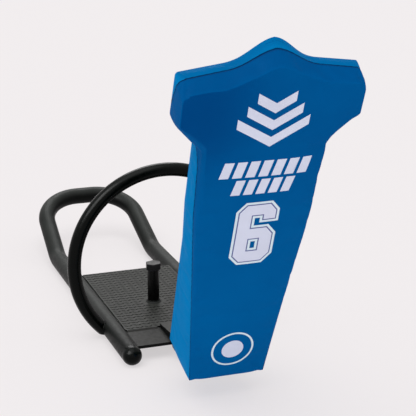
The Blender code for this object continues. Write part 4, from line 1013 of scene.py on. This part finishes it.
def build_hoop():
    """A finer hoop in the place of the solid, coped round the runners and cut off level below."""
    foot = HOOP_FOOT_TURN + HOOP_FOOT_OVERRUN
    angles = np.linspace(-foot, pi + foot, HOOP_STEPS)
    path = np.stack([HOOP_RADIUS * np.cos(angles), np.full(HOOP_STEPS, HOOP_Y),
                     RUNNER_R + HOOP_DROP + HOOP_RADIUS * np.sin(angles)], 1)
    hoop = shape("hoop_bar", *sweep(aft(path), HOOP_TUBE, first=(0, 1, 0)))
    near, far, side = HOOP_Y - CUT_MARGIN, HOOP_Y + CUT_MARGIN, HOOP_RADIUS + CUT_MARGIN
    cutters = [sweep(aft([(x, near, RUNNER_R), (x, far, RUNNER_R)]), RUNNER_R + WELD_GAP, 96, (1, 0, 0))
               for x in (-RUNNER_X, RUNNER_X)]
    corners = [(x, y, z) for x in (-side, side) for y in (near, far) for z in (-CUT_MARGIN, HOOP_FOOT_Z)]
    cutters.append((aft(corners), [(0, 1, 3, 2), (4, 6, 7, 5), (0, 4, 5, 1), (2, 3, 7, 6), (0, 2, 6, 4),
                                   (1, 5, 7, 3)]))
    for cutter in cutters:
        cut(hoop, *cutter)
    piece("roll_hoop_fine", *mesh_of(hoop), HOOP_PAINT, "sled", "hoop_paint", 35, ("roll_hoop",))
    bpy.data.objects.remove(hoop)


def lug(x, y, slant):
    """One raised lens of the tread."""
    along = np.array([cos(slant), sin(slant)])
    across = np.array([-along[1], along[0]])
    points = []
    for u in np.linspace(-1, 1, 9):
        for v in (-1.0, -0.6, 0.0, 0.6, 1.0):
            half = LUG_WIDTH / 2 * (1 - u * u) ** 0.7 + 0.0002
            at = (x, y) + along * u * LUG_LENGTH / 2 + across * v * half
            height = (LUG_HEIGHT + LUG_SUNK) * (1 - abs(v) ** 2.6) * (1 - u * u) ** 0.5 - LUG_SUNK
            points.append((*at, DECK_TOP + height))
    index = np.arange(len(points)).reshape(9, 5)
    return points, quads(index, order=FLIPPED) + [[*index[::-1, 0], *index[:, -1]]]


def build_tread():
    """Raised lenses on the tread plate, which leave the post's base and the hinge cover free."""
    parts = []
    columns = int((2 * DECK_HALF - 0.016) / LUG_PITCH_X)
    rows = int((TREAD_END - TREAD_START - 0.012) / LUG_PITCH_Y)
    for i in range(columns + 1):
        for j in range(rows + 1):
            x = (i - columns / 2) * LUG_PITCH_X
            y = (TREAD_START + TREAD_END) / 2 + (j - rows / 2) * LUG_PITCH_Y
            at_hinge = abs(x) < HINGE_NOTCH_X and y < TREAD_START + 0.03
            if hypot(x, y - POST_Y) > LUGS_FROM_POST and not at_hinge:
                parts.append(lug(x, y, LUG_SLANT if i % 2 else -LUG_SLANT))
    points, faces = join(parts)
    piece("tread_lugs", aft(points), faces, LUG_PAINT, "sled", "tread_paint")


def bead(path, radius=BEAD_RADIUS):
    """A weld run along a path: overlapping round scallops."""
    path = resample(path, BEAD_RIPPLE / 4)
    along = np.arange(len(path)) * BEAD_RIPPLE / 4
    taper = np.minimum(1, np.minimum(along, along[-1] - along) / (2 * radius) + 0.35)
    swell = 1 - 0.16 * np.abs(np.sin(pi * along / BEAD_RIPPLE)) ** 3
    return sweep(path, radius * taper * swell, 10)


def hoop_foot(side):
    """Where the hoop's surface meets a runner, as points round the hoop from its inner side."""
    made = []
    angles = np.linspace(0.30 - HOOP_FOOT_TURN, -0.10 - HOOP_FOOT_TURN, HOOP_STEPS)
    for turn in np.radians(np.arange(-110, 111, 5)):
        reach = HOOP_RADIUS - HOOP_TUBE * cos(turn)
        x, z = reach * np.cos(angles), RUNNER_R + HOOP_DROP + reach * np.sin(angles)
        inside = np.hypot(x - RUNNER_X, z - RUNNER_R) < RUNNER_R
        if inside.any():
            k = inside.argmax() - 1
            made.append((side * x[k], HOOP_Y + HOOP_TUBE * sin(turn), z[k]))
    return made


def build_welds():
    """Beads where the solids stand a hair apart, and the ground fillet between the two plates."""
    share = np.arange(7) / 6
    slope = FRONT_PLATE_TOP - 0.0001 + FILLET_RISE * (0.5 + 0.5 * np.cos(pi * share ** 1.15))
    edge = TREAD_START + WELD_GAP
    fillet = [(edge, DECK_TOP - 0.0040), *zip(edge - FILLET_RUN * share, slope),
              (edge - FILLET_RUN, DECK_TOP - 0.0060)]
    frame_beads, plate_beads, fillets = [], [], []
    for side in (-1, 1):
        frame_beads.append(bead(aft(hoop_foot(side)), HOOP_BEAD))
        x = side * (DECK_HALF + 0.0012)
        for start, end, top, *radius in PLATE_BEADS:
            plate_beads.append(bead(aft([(x, start, top - BEAD_SUNK), (x, end, top - BEAD_SUNK)]), *radius))
        inner, outer = sorted((side * HINGE_NOTCH_X, side * FILLET_END))
        points = [(x, y, z) for x in np.linspace(inner, outer, 24) for y, z in fillet]
        fillets.append((aft(points), walls(len(points), len(fillet), FLIPPED)))
    ring = [(POST_BEAD_RING * cos(a), POST_Y + POST_BEAD_RING * sin(a), FLANGE_TOP)
            for a in np.linspace(0, 2 * pi, 60)]
    frame_beads.append(bead(aft(ring), POST_BEAD))
    piece("ground_weld", *join(fillets), PLATE_PAINT, "sled", "plate_paint")
    piece("weld_beads_frame", *join(frame_beads), HOOP_PAINT, "sled", "frame_paint")
    piece("weld_beads_plate", *join(plate_beads), WELD_PAINT, "sled", "plate_paint")


def build_post():
    """A rounder ballast post, eased at its top edge, in the place of the solid."""
    centre = (POST_LOW + POST_HIGH) / 2
    inner = POST_R - POST_WALL
    profile = [(inner, POST_LOW.z), (POST_R, POST_LOW.z)]
    top = POST_HIGH.z - POST_EASE
    for middle, start in ((POST_R - POST_EASE, 0), (inner + POST_EASE, 90)):
        for a in np.radians(start + 22.5 * np.arange(5)):
            profile.append((middle + POST_EASE * cos(a), top + POST_EASE * sin(a)))
    points = [(centre.x + r * cos(a), centre.y + r * sin(a), z)
              for a in np.linspace(0, 2 * pi, POST_SIDES, endpoint=False) for r, z in profile]
    index = np.arange(len(points)).reshape(POST_SIDES, -1)
    faces = quads(np.vstack([index, index[:1]]), True, FLIPPED)
    piece("weight_post_fine", points, faces, POST_PAINT, "sled", "frame_paint", 60, ("weight_post",))


def build_thread():
    """The retaining bolt's thread, which shows as it is screwed out."""
    low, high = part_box("retainer_bolt")
    centre = (low + high) / 2
    turns = (THREAD_END - THREAD_START) / THREAD_PITCH
    angles = np.linspace(0, 2 * pi * turns, int(turns * 40))
    path = np.stack([centre.x + THREAD_MIDDLE * np.cos(angles), centre.y + THREAD_MIDDLE * np.sin(angles),
                     low.z + THREAD_START + THREAD_PITCH * angles / (2 * pi)], 1)
    taper = np.clip(np.minimum(angles, angles[-1] - angles) / 1.5, 0.3, 1)
    piece("bolt_thread", *sweep(path, THREAD_RADIUS * taper, 8, (0, 0, 1)), ZINC, "ballast_bolt",
          "zinc_hardware")


build_stitches(build_torso())
build_prints()
build_runner()
build_hoop()
build_tread()
build_welds()
build_post()
build_thread()


# Stage, camera and light

BACKGROUND = linear(242, 238, 239)
FLOOR_REACH = 40
FLOOR_GLOW = 0.66
SKY = (1.0, 0.985, 0.985, 1.0)
SKY_STRENGTH = 0.60
SUN_STRENGTH = 1.45
SUN_SIZE = radians(60)
SUN_TILT = radians(14)
# Softboxes: name, place and power
SOFTBOXES = (("softbox_left", (-3.0, -1.6, 3.2), 190.0), ("softbox_rear", (0.6, 3.6, 3.6), 110.0))
SOFTBOX_SIZE = 2.6
SOFTBOX_AIM = Vector((0, 0, 0.3))
# The photograph's camera, fitted to points of the frame, with its focal length in pixels
YAW, PITCH, ROLL = 0.344462985, 0.297459479, -0.00319098573
CAMERA_PLACE = Vector((-1.55437355, -4.54953517 - AFT, 2.07682741))
CAMERA_FOCAL = 1343.42239
PHOTO_WIDTH = 416
SENSOR = 36


def build_stage():
    """A pale floor that glows where the background is seen, and keeps the object's shadow."""
    r = FLOOR_REACH
    floor = shape("studio_floor", [(-r, -r, 0), (r, -r, 0), (r, r, 0), (-r, r, 0)], [(0, 1, 2, 3)])
    made = Finish("studio_floor", linear(238, 234, 235), 0.9, specular=0.0)
    glow = made.node("ShaderNodeEmission", {"Color": BACKGROUND})
    seen = made.times(made.sees_background(), FLOOR_GLOW)
    made.feed(made.tree.nodes["Material Output"].inputs["Surface"], made.blend(seen, made.shader, glow))
    floor.data.materials.append(made.made)


def build_light():
    """Soft light from all round and above, and two softboxes that show in gloss alone."""
    world = bpy.data.worlds.new("studio")
    SCENE.world = world
    world.use_nodes = True
    made = Nodes(world.node_tree)
    made.tree.nodes.clear()
    backdrop = made.node("ShaderNodeBackground", {"Color": BACKGROUND})
    sky = made.node("ShaderNodeBackground", {"Color": SKY, "Strength": SKY_STRENGTH})
    made.node("ShaderNodeOutputWorld", {0: made.blend(made.sees_background(), sky, backdrop)})
    sun = bpy.data.lights.new("overhead", "SUN")
    sun.energy = SUN_STRENGTH
    sun.angle = SUN_SIZE
    placed("overhead", sun).rotation_euler = (SUN_TILT, -SUN_TILT, 0)
    for name, place, power in SOFTBOXES:
        box = bpy.data.lights.new(name, "AREA")
        box.size = SOFTBOX_SIZE
        box.energy = power
        lamp = placed(name, box)
        lamp.location = place
        lamp.rotation_euler = (SOFTBOX_AIM - Vector(place)).to_track_quat("-Z", "Y").to_euler()
        lamp.visible_diffuse = False


def build_camera():
    data = bpy.data.cameras.new("photo_camera")
    data.sensor_width = SENSOR
    data.lens = CAMERA_FOCAL * SENSOR / PHOTO_WIDTH
    data.clip_end = 100
    camera = placed("photo_camera", data)
    pose = Matrix.Translation(CAMERA_PLACE)
    for angle, axis in ((-YAW, "Z"), (pi / 2 - PITCH, "X"), (-ROLL, "Z")):
        pose @= Matrix.Rotation(angle, 4, axis)
    camera.matrix_world = pose
    SCENE.camera = camera


build_stage()
build_light()
build_camera()
bpy.context.scene.view_settings.view_transform = "Standard"
